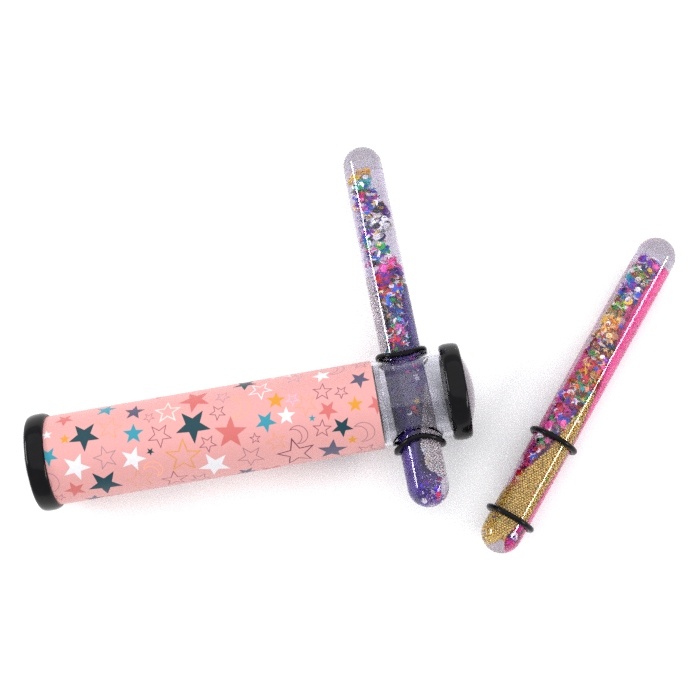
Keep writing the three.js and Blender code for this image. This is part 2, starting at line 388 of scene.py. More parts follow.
# painted shade: the grey tints of the tube, wand, plug and lens glass darken what is seen through them, standing in
# for a shaded grey floor
acrylic_tube = clear_material("acrylic_tube", 1.49, (0.83, 0.83, 0.875), 0.0, (0.88, 0.88, 0.9), 0.06)
acrylic_wand = clear_material("acrylic_wand", 1.49, (0.73, 0.71, 0.76), 0.0, (0.8, 0.79, 0.82), 0.04)
acrylic_plug = clear_material("acrylic_plug", 1.49, (0.50, 0.47, 0.52), 0.0, (0.8, 0.79, 0.82), 0.04)
acrylic_liquid = clear_material("acrylic_liquid_face", 1.49 / 1.42, (0.995, 0.985, 0.998), 0.0, (0.99, 0.985, 0.99))
acrylic_bubble = clear_material("bubble_wall", 1.0 / 1.42, (1, 1, 1), 0.0, (0.96, 0.96, 0.97))
window_clear = clear_material("window_clear", 1.49, (0.97, 0.985, 0.98), 0.0, (0.94, 0.96, 0.95), 0.04)
lens_clear = clear_material("lens_clear", 1.45, (0.34, 0.29, 0.33), 0.0, (0.92, 0.9, 0.94), 0.05, 0.35)


def glue_material():
    """The bonded joint between plug and tube: no step in the light's path, only a trace of haze."""
    m = Mat("glue_line")
    haze = m.noise(900, 3.0)
    col = m.ramp(haze, (0.35, (0.985, 0.985, 0.99)), (0.8, (0.94, 0.935, 0.95)))
    t = m.n("BsdfTransparent", Color=col)
    m.link(t.outputs[0], m.out.inputs[0])
    return m.m


glue_line = glue_material()


def liquid_material(name, tint):
    m = Mat(name)
    cloud = m.noise(220, 3.0)
    col = m.ramp(cloud, (0.3, tint), (0.75, tuple(min(1.0, c * 0.35 + 0.65) for c in tint)))
    t = m.n("BsdfTransparent", Color=col)
    m.link(t.outputs[0], m.out.inputs[0])
    return m.m


def rubber_gloss(name, base, rough, coat):
    m = Mat(name)
    dust = m.noise(3800, 3.0, 0.6)
    specks = m.ramp(m.voronoi(1500), (0.0, 1.0), (0.06, 0.0))
    smear = m.noise(260, 3.0, 0.55)
    colour = m.mix(m.math("MULTIPLY", specks, 0.25), base, lin(120, 118, 122))
    colour = m.mix(m.ramp(smear, (0.45, 0.0), (0.8, 0.14)), colour, lin(34, 33, 38))
    r = m.math("MULTIPLY_ADD", smear, 0.12, rough - 0.05)
    r = m.math("MULTIPLY_ADD", dust, 0.05, r)
    h = m.math("MULTIPLY_ADD", m.noise(420, 2.0), 1.0, m.math("MULTIPLY", dust, 0.05))
    p = m.principled(Base_Color=colour, Roughness=r, Normal=m.bump(h, 0.12, 0.00012))
    p.inputs["IOR"].default_value = 1.45
    p.inputs["Specular IOR Level"].default_value = coat
    return m.m


bumper_black = rubber_gloss("bumper_black", lin(9, 9, 11), 0.12, 0.16)
ring_black = rubber_gloss("ring_black", lin(8, 8, 10), 0.2, 0.14)


def eyepiece_material():
    m = Mat("eyepiece_black")
    grain = m.voronoi(2600)
    swirl = m.noise(500, 3.0)
    colour = m.ramp(swirl, (0.3, lin(17, 18, 20)), (0.8, lin(34, 34, 37)))
    m.principled(
        Base_Color=colour,
        Roughness=m.math("MULTIPLY_ADD", swirl, 0.2, 0.28),
        Normal=m.bump(grain, 0.35, 0.00005),
    )
    return m.m


def wrap_material():
    """Offset print on smooth coated paper: ink mottle, paper tooth and a soft sheen."""
    m = Mat("wrap_print")
    ink = m.n("Attribute", attribute_name="ink").outputs["Color"]
    mottle = m.noise(900, 4.0, 0.6)
    fibre = m.noise(5200, 3.0, 0.7)
    streak = m.t.nodes.new("ShaderNodeMapping")
    streak.inputs["Scale"].default_value = (0.25, 1, 1)
    m.link(m.coord(), streak.inputs["Vector"])
    long_streak = m.noise(700, 2.0, 0.5, streak.outputs[0])
    shade = m.ramp(mottle, (0.3, (0.955, 0.95, 0.952)), (0.7, (1, 1, 1)))
    col = m.mix(1.0, ink, shade, "MULTIPLY")
    tooth = m.ramp(fibre, (0.35, (0.965, 0.96, 0.96)), (0.65, (1, 1, 1)))
    col = m.mix(0.7, col, m.mix(1.0, col, tooth, "MULTIPLY"))
    h = m.math("MULTIPLY_ADD", long_streak, 0.6, m.math("MULTIPLY", fibre, 0.35))
    p = m.principled(
        Base_Color=col,
        Roughness=m.math("MULTIPLY_ADD", mottle, 0.14, 0.36),
        Normal=m.bump(h, 0.10, 0.00006),
    )
    p.inputs["Specular IOR Level"].default_value = 0.25
    p.inputs["Coat Weight"].default_value = 0.08
    p.inputs["Coat Roughness"].default_value = 0.22
    return m.m


def card_material(name, a, b):
    m = Mat(name)
    fibre = m.noise(3200, 5.0, 0.7)
    blot = m.noise(240, 3.0)
    col = m.mix(m.ramp(fibre, (0.35, 0.0), (0.7, 1.0)), a, b)
    col = m.mix(m.math("MULTIPLY", blot, 0.25), col, tuple(c * 0.6 for c in a))
    m.principled(Base_Color=col, Roughness=m.math("MULTIPLY_ADD", fibre, 0.15, 0.75), Normal=m.bump(fibre, 0.5, 0.00012))
    return m.m


def mirror_material():
    m = Mat("mirror_face")
    haze = m.noise(300, 4.0, 0.6)
    scratch = m.t.nodes.new("ShaderNodeMapping")
    scratch.inputs["Scale"].default_value = (0.03, 1, 1)
    m.link(m.coord(), scratch.inputs["Vector"])
    lines = m.noise(5200, 2.0, 0.6, scratch.outputs[0])
    col = m.ramp(haze, (0.3, lin(214, 220, 224)), (0.8, lin(236, 239, 241)))
    m.principled(Base_Color=col, Metallic=1.0, Roughness=m.math("MULTIPLY_ADD", m.ramp(lines, (0.55, 0.0), (0.75, 1.0)), 0.10, 0.03))
    return m.m


def bead_material(name, bright, deep, metallic=0.55):
    """Plated micro beads: each one a little different, with a fine random mottle between a deep and a bright tone."""
    m = Mat(name)
    ink = m.n("Attribute", attribute_name="ink").outputs["Color"]
    spot = m.noise(2600, 2.0)
    col = m.mix(1.0, m.ramp(spot, (0.3, deep), (0.62, bright)), ink, "MULTIPLY")
    m.principled(Base_Color=col, Metallic=metallic, Roughness=m.math("MULTIPLY_ADD", spot, 0.18, 0.12))
    return m.m


def foil_material(name, rough=0.3, metallic=0.18):
    """Coloured metallic foil with a slight rainbow shift and crinkles."""
    m = Mat(name)
    ink = m.n("Attribute", attribute_name="ink").outputs["Color"]
    crinkle = m.noise(1700, 3.0, 0.6)
    hue = m.t.nodes.new("ShaderNodeHueSaturation")
    m.link(m.math("MULTIPLY_ADD", m.noise(900, 1.0), 0.10, 0.45), hue.inputs["Hue"])
    m.link(ink, hue.inputs["Color"])
    hue.inputs["Saturation"].default_value = 1.12
    m.principled(
        Base_Color=hue.outputs[0],
        Metallic=metallic,
        Roughness=m.math("MULTIPLY_ADD", crinkle, 0.2, rough - 0.05),
        Normal=m.bump(crinkle, 0.35, 0.00008),
    )
    return m.m


def powder_material(name, dark, mid, light, painted_glint_colour):
    """Fine packed glitter in liquid: cells that each catch the light differently by roughness, metal and tilt, and a
    few cells painted a pale colour as a painted glint.
    """
    m = Mat(name)
    cells = m.voronoi(4200, "Color")
    sep = m.t.nodes.new("ShaderNodeSeparateColor")
    m.link(cells, sep.inputs[0])
    cloud = m.noise(190, 4.0, 0.6)
    fine = m.noise(1500, 3.0, 0.6)
    base = m.ramp(m.math("MULTIPLY_ADD", fine, 0.45, m.math("MULTIPLY", cloud, 0.6)), (0.3, dark), (0.52, mid), (0.74, light))
    glint_cell_mask = m.ramp(sep.outputs[0], (0.9, 0.0), (0.97, 1.0))
    # painted glint: a pale colour mixed into a few random cells stands in for their highlights
    col = m.mix(m.math("MULTIPLY", glint_cell_mask, 0.7), base, painted_glint_colour)
    m.principled(
        Base_Color=col,
        Metallic=m.math("MULTIPLY", glint_cell_mask, 0.3),
        Roughness=m.math("MULTIPLY_ADD", sep.outputs[1], 0.3, 0.35),
        Normal=m.bump(sep.outputs[2], 0.3, 0.00008),
    )
    return m.m


wrap_mat = wrap_material()
liner_mat = card_material("liner_card", lin(30, 29, 30), lin(58, 56, 56))
collar_mat = card_material("collar_card", lin(38, 37, 38), lin(62, 60, 60))
mirror_mat = mirror_material()
silver_mat = bead_material("beads_silver", lin(252, 248, 246), lin(226, 216, 208), 0.3)
gold_mat = bead_material("beads_gold", lin(255, 232, 124), lin(244, 200, 78))
foil_a = foil_material("foil_violet_mix")
foil_b = foil_material("foil_pink_mix")
glit_violet = foil_material("glitter_violet", 0.25, 0.6)
glit_pink = foil_material("glitter_pink", 0.25, 0.6)
# the last colour of each powder is its painted glint colour
powder_violet = powder_material("powder_violet", lin(30, 12, 74), lin(52, 28, 116), lin(84, 56, 160), lin(165, 135, 222))
powder_pink = powder_material("powder_pink", lin(190, 14, 104), lin(226, 26, 128), lin(240, 74, 158), lin(255, 190, 225))
liquid_violet = liquid_material("liquid_violet", (0.91, 0.895, 0.935))
liquid_pink = liquid_material("liquid_pink", (0.93, 0.895, 0.92))

# ---------------------------------------------------------------------------------
# The printed wrap
# ---------------------------------------------------------------------------------
PINK = lin(210, 151, 148)
INK = {
    "teal": lin(14, 58, 68),
    "turq": lin(44, 138, 156),
    "slate": lin(82, 79, 102),
    "coral": lin(195, 102, 99),
    "white": lin(214, 214, 216),
    "orange": lin(205, 139, 35),
}


def star(cx, cy, r, angle, ratio=0.41, k=5):
    out = []
    for i in range(2 * k):
        a = math.radians(angle) + i * PI / k
        q = r if i % 2 == 0 else r * ratio
        out.append((cx + q * math.cos(a), cy + q * math.sin(a)))
    return out


def crescent(cx, cy, r, bulge, n=26, fat=0.52):
    b = math.radians(bulge)
    r2 = r * 0.86
    d = r * fat
    # where the two circles cross
    x = (d * d + r * r - r2 * r2) / (2 * d)
    y = math.sqrt(max(r * r - x * x, 1e-9))
    a1 = math.atan2(y, -x)
    out = []
    for i in range(n + 1):  # outer rim, through the bulge
        a = -a1 + 2 * a1 * i / n
        out.append((r * math.cos(a), r * math.sin(a)))
    a2 = math.atan2(y, -x + d)
    for i in range(1, n):  # the hollow
        a = a2 - 2 * a2 * i / n
        out.append((-d + r2 * math.cos(a), r2 * math.sin(a)))
    c, s = math.cos(b), math.sin(b)
    return [(cx + u * c - v * s, cy + u * s + v * c) for u, v in out]


def offset(poly, d):
    """Moves a polygon's edges out by d, with mitred corners."""
    p = np.array(poly)
    nxt = np.roll(p, -1, 0) - p
    nxt /= np.linalg.norm(nxt, axis=1, keepdims=True)
    prv = np.roll(nxt, 1, 0)
    area = (p[:, 0] * np.roll(p[:, 1], -1) - np.roll(p[:, 0], -1) * p[:, 1]).sum()
    sgn = 1 if area > 0 else -1
    n0 = np.stack([prv[:, 1], -prv[:, 0]], 1) * sgn
    n1 = np.stack([nxt[:, 1], -nxt[:, 0]], 1) * sgn
    b = n0 + n1
    b /= np.maximum((b * n0).sum(1, keepdims=True), 0.12)
    ln = np.linalg.norm(b, axis=1, keepdims=True)
    b = b * np.minimum(1, 3.2 / ln)
    return (p + b * d).tolist()


def inside(poly, pts):
    p = np.array(poly)
    x, y = pts[:, 0], pts[:, 1]
    res = np.zeros(len(pts), bool)
    x0, y0 = p[:, 0], p[:, 1]
    x1, y1 = np.roll(x0, -1), np.roll(y0, -1)
    for a, b, c, d in zip(x0, y0, x1, y1):
        hit = (b > y) != (d > y)
        if not hit.any():
            continue
        xx = (c - a) * (y - b) / (d - b + 1e-15) + a
        res ^= hit & (x < xx)
    return res


def U(px, py, r, ang=0.0):
    return (px / 10 + 2.0, (300 - py) / 10, r / 10, ang)


SOLID = {
    "teal": [(213.3, 246.9, 63.2, -94), (256.5, 456.2, 69.9, -95), (630.3, 280.4, 70.7, -93), (454.8, 351, 16.7, -93), (1188.6, 384.2, 44.9, -93), (842.8, 106.5, 50.6, -93)],
    "turq": [(401.3, 272.3, 42.6, 84), (298, 124.4, 45.6, -70), (68.6, 303.7, 39.9, -93), (906.3, 313.4, 44.2, -89), (1081.7, 330.4, 14.5, 80)],
    "slate": [(410, 174.1, 41.8, 79), (191, 561, 43, 78), (791.3, 552.6, 45.7, -90), (1282.7, 205.7, 42.7, -89.5), (1134.3, 489.2, 61.9, 78)],
    "coral": [(135.6, 146.8, 39.3, -93), (140.2, 460.7, 45.4, 177), (647.2, 164.5, 64.8, 183), (767.3, 332.6, 65.5, 81), (1145.6, 310.3, 39.9, -94), (1334.6, 320.2, 39.8, 188)],
    "white": [(70, 215.3, 21.5, 95), (166.1, 362.5, 56.2, -82), (385.1, 368.3, 50.8, -79), (683.2, 457.8, 64.9, 184), (986.5, 304.4, 37.1, 83), (1141.7, 148.8, 39.8, -112)],
    "orange": [(138.3, 246.9, 22.5, 85), (955.7, 236.3, 38.1, 81.5), (1251.1, 306.3, 32.9, 85), (1217.7, 447.9, 22.9, 82)],
}
LINES = [
    (315.2, 232.8, 46.8, 74, (238, 168, 122), 0.32), (283.3, 345.1, 45.8, 99.5, (168, 138, 150), 0.3), (499.6, 296.5, 45.6, -93, (150, 84, 104), 0.3),
    (466.5, 215.8, 21.3, -93, (188, 130, 140), 0.26), (539.1, 203.7, 48.6, 86, (252, 232, 224), 0.5), (730.5, 245.2, 31.2, -102, (142, 84, 104), 0.28),
    (573.8, 393.3, 67.3, 82, (236, 162, 78), 0.46), (675, 358.8, 33.3, -92, (150, 84, 104), 0.28), (825.2, 446.2, 51.4, -100, (168, 122, 136), 0.3),
    (855.5, 369.7, 20.1, 88, (150, 92, 108), 0.26), (998.6, 470.7, 73.3, 96, (112, 56, 86), 0.44), (518.7, 503.7, 51.6, 86, (142, 74, 94), 0.3),
    (1112, 377.3, 35.5, 79, (150, 84, 104), 0.3), (1135.7, 233.4, 36.5, 81, (150, 84, 106), 0.3), (1207.1, 249.5, 24.9, -98, (150, 84, 106), 0.28),
    (1068.1, 275.4, 42, -104, (238, 168, 122), 0.3), (1019.1, 243.4, 25, -95, (226, 192, 216), 0.34), (901, 172.1, 46.2, -88, (252, 240, 242), 0.42),
    (754.2, 175.8, 30.2, -88, (190, 150, 166), 0.3), (932.1, 397.6, 38.1, 98, (240, 164, 118), 0.3), (613, 531.6, 39.8, -90, (152, 112, 126), 0.3),
    (1263.3, 533.8, 44.3, -90, (142, 84, 96), 0.3), (1297.6, 107.2, 34.2, -130, (170, 112, 126), 0.3), (1035.4, 130.5, 35.9, -60, (190, 160, 176), 0.3),
    (970.5, 160.3, 28, -90, (226, 180, 170), 0.28), (72, 492.4, 20.9, -90, (190, 92, 112), 0.28), (391.8, 468, 53.3, 95, (240, 166, 122), 0.32),
]
MOONS = [
    (805.7, 233.2, 47.3, 0, (240, 160, 116)), (1017.7, 385.5, 37.1, 17, (140, 90, 104)), (1263.7, 422.9, 43.8, 13, (150, 108, 118)),
    (46.2, 408.5, 43.1, 0, (172, 112, 126)), (450.3, 427, 35.6, 45, (240, 164, 118)), (1194, 116.4, 37.5, -10, (162, 112, 132)),
]


def build_wrap():
    x0, x1, ro, ri = 1.9, 135.65, 17.45, 17.1
    half = PI * ro
    shapes = []  # (polygon, colour, hole or None)
    for key, rows in SOLID.items():
        for px, py, r, a in rows:
            x, t, r, _ = U(px, py, r)
            shapes.append((star(x, t, r, a), INK[key], None))
    for px, py, r, a, col, w in LINES:
        x, t, r, _ = U(px, py, r)
        s = star(x, t, r, a)
        shapes.append((offset(s, w / 2), lin(*(0.88 * q for q in col)), offset(s, -w / 2)))
    for px, py, r, a, col in MOONS:
        x, t, r, _ = U(px, py, r)
        s = crescent(x, t, r, a)
        shapes.append((offset(s, 0.15), lin(*col), offset(s, -0.15)))
    # the rest of the way round: the same mixture, spaced out
    taken = [(np.mean(np.array(s[0]), 0), (np.ptp(np.array(s[0]), 0).max()) / 2) for s in shapes]
    kinds = ["teal", "turq", "slate", "coral", "white", "orange"]
    line_cols = [(150, 84, 104), (238, 168, 122), (168, 138, 150), (142, 74, 94), (252, 240, 242), (112, 56, 86)]
    tries = 0
    k = 0
    while tries < 9000:
        tries += 1
        r = rng.choice([2.2, 3.4, 4.2, 4.6, 5.2, 6.3])
        x = rng.uniform(x0 + 7.5 + r, x1 + 1.0)
        t = rng.uniform(-half + r + 0.4, half - r - 0.4)
        if abs(t) < 25.8 - (r - 4):
            continue
        if any(math.hypot(x - c[0], t - c[1]) < (q + r) * 0.93 for c, q in taken):
            continue
        a = rng.choice([-93, 84, 79, -90, 95, -100])
        k += 1
        if k % 7 == 3:
            s = crescent(x, t, r * 0.8, rng.uniform(-20, 50))
            shapes.append((offset(s, 0.15), lin(*rng.choice(line_cols)), offset(s, -0.15)))
        elif k % 2:
            shapes.append((star(x, t, r, a), INK[kinds[k // 2 % 6]], None))
        else:
            s = star(x, t, r, a)
            shapes.append((offset(s, 0.15), lin(*rng.choice(line_cols)), offset(s, -0.15)))
        taken.append((np.array([x, t]), r))

    nt, nx = 104, 108
    ts = np.linspace(-half, half, nt + 1)
    xs = np.linspace(x0, x1, nx + 1)
    coords, edges = [], []

    def ring(points):
        s = len(coords)
        coords.extend(points)
        for i in range(len(points)):
            edges.append((s + i, s + (i + 1) % len(points)))

    rect = [(x, -half) for x in xs[:-1]] + [(x1, t) for t in ts[:-1]] + [(x, half) for x in xs[:0:-1]] + [(x0, t) for t in ts[:0:-1]]
    ring([(float(a), float(b)) for a, b in rect])

    def clip(poly):
        """Keeps a polygon inside the paper."""
        out = []
        n = len(poly)
        for i in range(n):
            a, b = poly[i], poly[(i + 1) % n]
            ia, ib = a[0] < x1 - 0.02, b[0] < x1 - 0.02
            if ia:
                out.append(a)
            if ia != ib:
                f = (x1 - 0.02 - a[0]) / (b[0] - a[0])
                out.append((x1 - 0.02, a[1] + f * (b[1] - a[1])))
        return out

    polys = []
    for outer, col, hole in shapes:
        o = clip(outer)
        if len(o) < 3:
            continue
        ring(o)
        h = None
        if hole is not None:
            h = clip(hole)
            if len(h) >= 3:
                ring(h)
            else:
                h = None
        polys.append((o, col, h))
    for i, x in enumerate(xs[1:-1]):
        for j, t in enumerate(ts[1:-1]):
            coords.append((float(x), float(t + (0.25 if i % 2 else -0.25))))
    res = delaunay_2d_cdt([Vector(c) for c in coords], edges, [], 0, 1e-5, False)
    v2 = np.array([tuple(v) for v in res[0]])
    tri = np.array([tuple(f) for f in res[2] if len(f) == 3])
    cen = v2[tri].mean(1)
    colour = np.tile(np.array(PINK), (len(tri), 1))
    for o, col, h in polys:
        lo, hi = np.min(o, 0), np.max(o, 0)
        near = np.where(((cen >= lo) & (cen <= hi)).all(1))[0]
        hit = inside(o, cen[near])
        if h is not None:
            hit &= ~inside(h, cen[near])
        colour[near[hit]] = col
    s = Surf()

    def roll(x, t, r):
        phi = t / ro
        return np.stack([x, r * np.sin(phi), r * np.cos(phi)], 1), np.stack([0 * x, np.sin(phi), np.cos(phi)], 1)

    p, n = roll(v2[:, 0], v2[:, 1], ro)
    s.add(p, tri, n, colour)
    # inside face, ends
    gx, gt = np.meshgrid(xs, ts, indexing="ij")
    p, n = roll(gx.ravel(), gt.ravel(), ri)
    ids = np.arange(gx.size).reshape(gx.shape)
    a, b, c, d = ids[:-1, :-1].ravel(), ids[1:, :-1].ravel(), ids[1:, 1:].ravel(), ids[:-1, 1:].ravel()
    s.add(p, np.concatenate([np.stack([a, b, c], 1), np.stack([a, c, d], 1)]), -n, lin(225, 215, 212))
    for x, sg in ((x0, -1), (x1, 1)):
        po, _ = roll(np.full(nt + 1, x), ts, ro)
        pi, _ = roll(np.full(nt + 1, x), ts, ri)
        v = np.concatenate([po, pi])
        i = np.arange(nt)
        t1 = np.stack([i, i + 1, i + nt + 2], 1)
        t2 = np.stack([i, i + nt + 2, i + nt + 1], 1)
        s.add(v, np.concatenate([t1, t2]), np.tile([sg, 0, 0], (len(v), 1)), lin(236, 214, 210))
    # the wrap is turned with the table's vertical, not the wand's
    upright = Place(SCOPE.o, (1, 0, 0), (0, 1, 0), (0, 0, 1))
    return s.build("wrap_paper", upright, "scope", wrap_mat, ["printed_wrap"], "wrap_print")


build_wrap()


# ---------------------------------------------------------------------------------
# The clear tube, with its two holes
# ---------------------------------------------------------------------------------
def build_tube():
    x0, x1, ro, ri = 1.9, 168.0, 17.0, 15.5
    hole_r, ch = 9.5, 0.28
    na = 96
    al = np.arange(na) * TAU / na

    def outline(h, r, side):
        th = np.arcsin(np.clip(h * np.sin(al) / r, -1, 1))
        return WAND_X + h * np.cos(al), side * 0 + th * r  # x and arc from the wand's axis

    s = Surf()

    def skin(r, h, sign):
        half = PI * r
        nt = 120
        ts = np.linspace(0, 2 * half, nt + 1)  # arc from the +y direction
        xs = np.concatenate([np.linspace(x0, 132, 56), np.linspace(133, x1, 46)])
        coords, edges = [], []

        def ring(points):
            b = len(coords)
            coords.extend(points)
            for i in range(len(points)):
                edges.append((b + i, b + (i + 1) % len(points)))

        lo, hi = -0.5 * half, 1.5 * half
        tt = np.linspace(lo, hi, nt + 1)
        rect = [(x, lo) for x in xs[:-1]] + [(xs[-1], t) for t in tt[:-1]] + [(x, hi) for x in xs[:0:-1]] + [(xs[0], t) for t in tt[:0:-1]]
        ring([(float(a), float(b)) for a, b in rect])
        holes = []
        for k in (0, 1):
            hx, ht = outline(h, r, 1)
            pts = [(float(a), float(b + k * half)) for a, b in zip(hx, ht)]
            ring(pts)
            holes.append(pts)
        grid = np.array([(x, t) for x in xs[1:-1] for t in tt[1:-1]])
        keep = np.ones(len(grid), bool)
        for hl in holes:
            big = offset(hl, 0.35)
            keep &= ~inside(big, grid)
        coords.extend([(float(a), float(b)) for a, b in grid[keep]])
        res = delaunay_2d_cdt([Vector(c) for c in coords], edges, [], 0, 1e-6, False)
        v2 = np.array([tuple(v) for v in res[0]])
        tri = np.array([tuple(f) for f in res[2] if len(f) == 3])
        cen = v2[tri].mean(1)
        cut = np.zeros(len(tri), bool)
        for hl in holes:
            cut |= inside(hl, cen)
        tri = tri[~cut]
        phi = v2[:, 1] / r
        p = np.stack([v2[:, 0], r * np.cos(phi), r * np.sin(phi)], 1)
        n = np.stack([0 * phi, np.cos(phi), np.sin(phi)], 1) * sign
        s.add(p, tri, n)
        return tt, xs

    tt, _ = skin(ro, hole_r + ch, 1)
    skin(ri, hole_r + ch, -1)

    def rim_curve(h, r, k):
        th = np.arcsin(np.clip(h * np.sin(al) / r, -1, 1)) + k * PI
        y, z = r * np.cos(th), r * np.sin(th)
        return np.stack([WAND_X + h * np.cos(al), y, z], 1)

    for k in (0, 1):
        curves = [rim_curve(hole_r + ch, ro, k), rim_curve(hole_r + ch * 0.3, ro - ch * 0.28, k), rim_curve(hole_r, ro - ch, k)]
        curves += [rim_curve(hole_r, ri + ch, k), rim_curve(hole_r + ch * 0.3, ri + ch * 0.28, k), rim_curve(hole_r + ch, ri, k)]
        v = np.concatenate(curves)
        # normals: out of the acrylic, into the hole, leaning at the eased edges
        ax = np.array([WAND_X, 0, 0])
        ns = []
        for c, lean in zip(curves, (0.9, 0.45, 0.0, 0.0, -0.45, -0.9)):
            rad = ax - c
            rad[:, 1] = 0
            rad[:, 1] = 0
            rad /= np.linalg.norm(rad, axis=1, keepdims=True)
            out = np.stack([np.zeros(na), c[:, 1], c[:, 2]], 1)
            out /= np.linalg.norm(out, axis=1, keepdims=True)
            q = rad * math.sqrt(1 - lean * lean) + out * lean
            ns.append(q / np.linalg.norm(q, axis=1, keepdims=True))
        n = np.concatenate(ns)
        tr = []
        for i in range(5):
            for j in range(na):
                q = (j + 1) % na
                a, b, c, d = i * na + j, i * na + q, (i + 1) * na + q, (i + 1) * na + j
                tr += [(a, b, c), (a, c, d)]
        s.add(v, tr, n)
    for x, sg in ((x0, -1), (x1, 1)):
        half_o, half_i = PI * ro, PI * ri
        to = np.linspace(-0.5 * half_o, 1.5 * half_o, 121) / ro
        po = np.stack([np.full(121, x), ro * np.cos(to), ro * np.sin(to)], 1)
        pi = np.stack([np.full(121, x), ri * np.cos(to), ri * np.sin(to)], 1)
        v = np.concatenate([po, pi])
        i = np.arange(120)
        s.add(v, np.concatenate([np.stack([i, i + 1, i + 122], 1), np.stack([i, i + 122, i + 121], 1)]), np.tile([sg, 0, 0], (len(v), 1)))
    return s.build("tube_clear", SCOPE, "scope", acrylic_tube, ["body_tube"], "acrylic_clear", colour=False)


build_tube()


# ---------------------------------------------------------------------------------
# Turned pieces of the scope
# ---------------------------------------------------------------------------------
def bumper_wobble(seed, amp):
    r = random.Random(seed)
    ph = [r.uniform(0, TAU) for _ in range(12)]

    def f(x, rr, a):
        dr = amp * (0.5 * np.sin(2 * a + ph[0] + x * 0.2) + 0.4 * np.sin(3 * a + ph[1] - x * 0.35) + 0.28 * np.sin(5 * a + ph[2] + x * 0.5) + 0.16 * np.sin(9 * a + ph[3]))
        dx = amp * (0.35 * np.sin(2 * a + ph[4]) + 0.25 * np.sin(4 * a + ph[5]))
        w = np.clip((rr - 13.5) / 5.0, 0, 1)
        return dx * w, dr * w - amp * 0.9 * w

    return f


def build_bumper(name, x0, bore, lip, side, node, seed):
    """A dipped-rubber ring: half-round outside, a soft shoulder, turned in over the end."""
    w, top = 7.5, 19.2
    mid, flank = x0 + w / 2, 17.75
    outside = []
    n = 40
    for i in range(n + 1):
        a = PI - PI * i / n
        # a squarer half round, as the moulded rings have
        cx, sx = math.cos(a), math.sin(a)
        outside.append((mid + w / 2 * math.copysign(abs(cx) ** 0.86, cx), flank + (top - flank) * abs(sx) ** 0.9))
    if side < 0:
        out = [(x0 + w, flank)]
        body = outside[::-1]  # far to near
        face = arc(x0 + 0.5, lip + 0.55, 0.5, 180, 270, 6)
        # the end face crowns slightly between the flank and the lip
        crown = [(x0 - 0.12 * math.sin(PI * i / 12) + 0.12 * i / 12 * 0, flank + (lip + 0.55 - flank) * i / 12) for i in range(1, 12)]
        prof = body + crown + face + [(x0 + 1.7, lip), (x0 + 1.7, bore), (x0 + w - 0.3, bore)] + [(x0 + w, bore + 0.3)]
    else:
        body = outside
        xe = x0 + w
        crown = [(xe + 0.12 * math.sin(PI * i / 12), flank + (lip + 0.55 - flank) * i / 12) for i in range(1, 12)]
        face = [(xe - 0.5 + 0.5 * math.cos(math.radians(a)), lip + 0.55 - 0.5 * math.sin(math.radians(a))) for a in range(0, 91, 15)]
        prof = body + crown + face + [(xe - 1.7, lip), (xe - 1.7, bore), (x0 + 0.3, bore), (x0, bore + 0.3)]
    return lathe(name, prof, SCOPE, "scope", bumper_black, seg=192, closed=True, wob=bumper_wobble(seed, 0.1), sharp=40, replaces=[node])


build_bumper("near_bumper", 0.0, 17.55, 13.1, -1, "eyepiece_bumper", 3)
build_bumper("far_bumper", 162.5, 17.1, 14.15, 1, "lens_bumper", 8)

lathe(
    "eye_disc",
    [(-1.7, 5.75), (-1.7, 10.3), (-1.65, 11.0), (-1.5, 11.75), (-1.2, 12.3), (-0.8, 12.62), (-0.2, 12.8), (0.4, 12.9), (1.9, 12.9), (1.9, 15.1), (2.05, 15.25), (3.25, 15.25), (3.4, 15.1), (3.4, 5.0), (-0.9, 5.0), (-1.35, 5.15), (-1.62, 5.5)],
    SCOPE, "scope", eyepiece_material(), seg=160, closed=True, sharp=30, replaces=["eyepiece_disc"],
)


def disc_profile(x0, x1, r, e=0.15):
    return [(x0, 0), (x0, r - e), (x0 + e, r), (x1 - e, r), (x1, r - e), (x1, 0)]


lathe("eye_window", disc_profile(3.6, 5.2, 15.25), SCOPE, "scope", window_clear, replaces=["eyepiece_window"])
lathe("chamber_window", disc_profile(136.55, 138.35, 15.3), SCOPE, "scope", window_clear, replaces=["object_window"])


def lens_profile():
    R, r, apex = 30.5, 14.0, 173.6
    half = math.asin(r / R)
    edge = apex - R + R * math.cos(half)
    dome = [(apex - R + R * math.cos(half * (1 - i / 40)), R * math.sin(half * (1 - i / 40))) for i in range(41)]
    dome[-1] = (apex, 0.0)
    return [(165.8, 0), (165.8, 15.15), (165.95, 15.3), (167.75, 15.3), (167.9, 15.15), (167.9, 14.05), (167.96, 14.0), (edge - 0.1, 14.0)] + dome


lathe("lens_dome", lens_profile(), SCOPE, "scope", lens_clear, seg=192, replaces=["end_lens"])

lathe(
    "liner_tube",
    [(5.4, 14.9), (5.4, 15.35), (136.2, 15.35), (136.35, 15.25), (136.35, 15.0), (136.2, 14.9)],
    SCOPE, "scope", liner_mat, seg=160, closed=True, replaces=["liner_sleeve"],
)

for node in ("mirror_base", "mirror_left", "mirror_right"):
    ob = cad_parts[node]
    ob.data.materials.clear()
    ob.data.materials.append(mirror_mat)
for node in ("prism_collar_near", "prism_collar_far"):
    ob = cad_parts[node]
    ob.data.materials.clear()
    ob.data.materials.append(collar_mat)


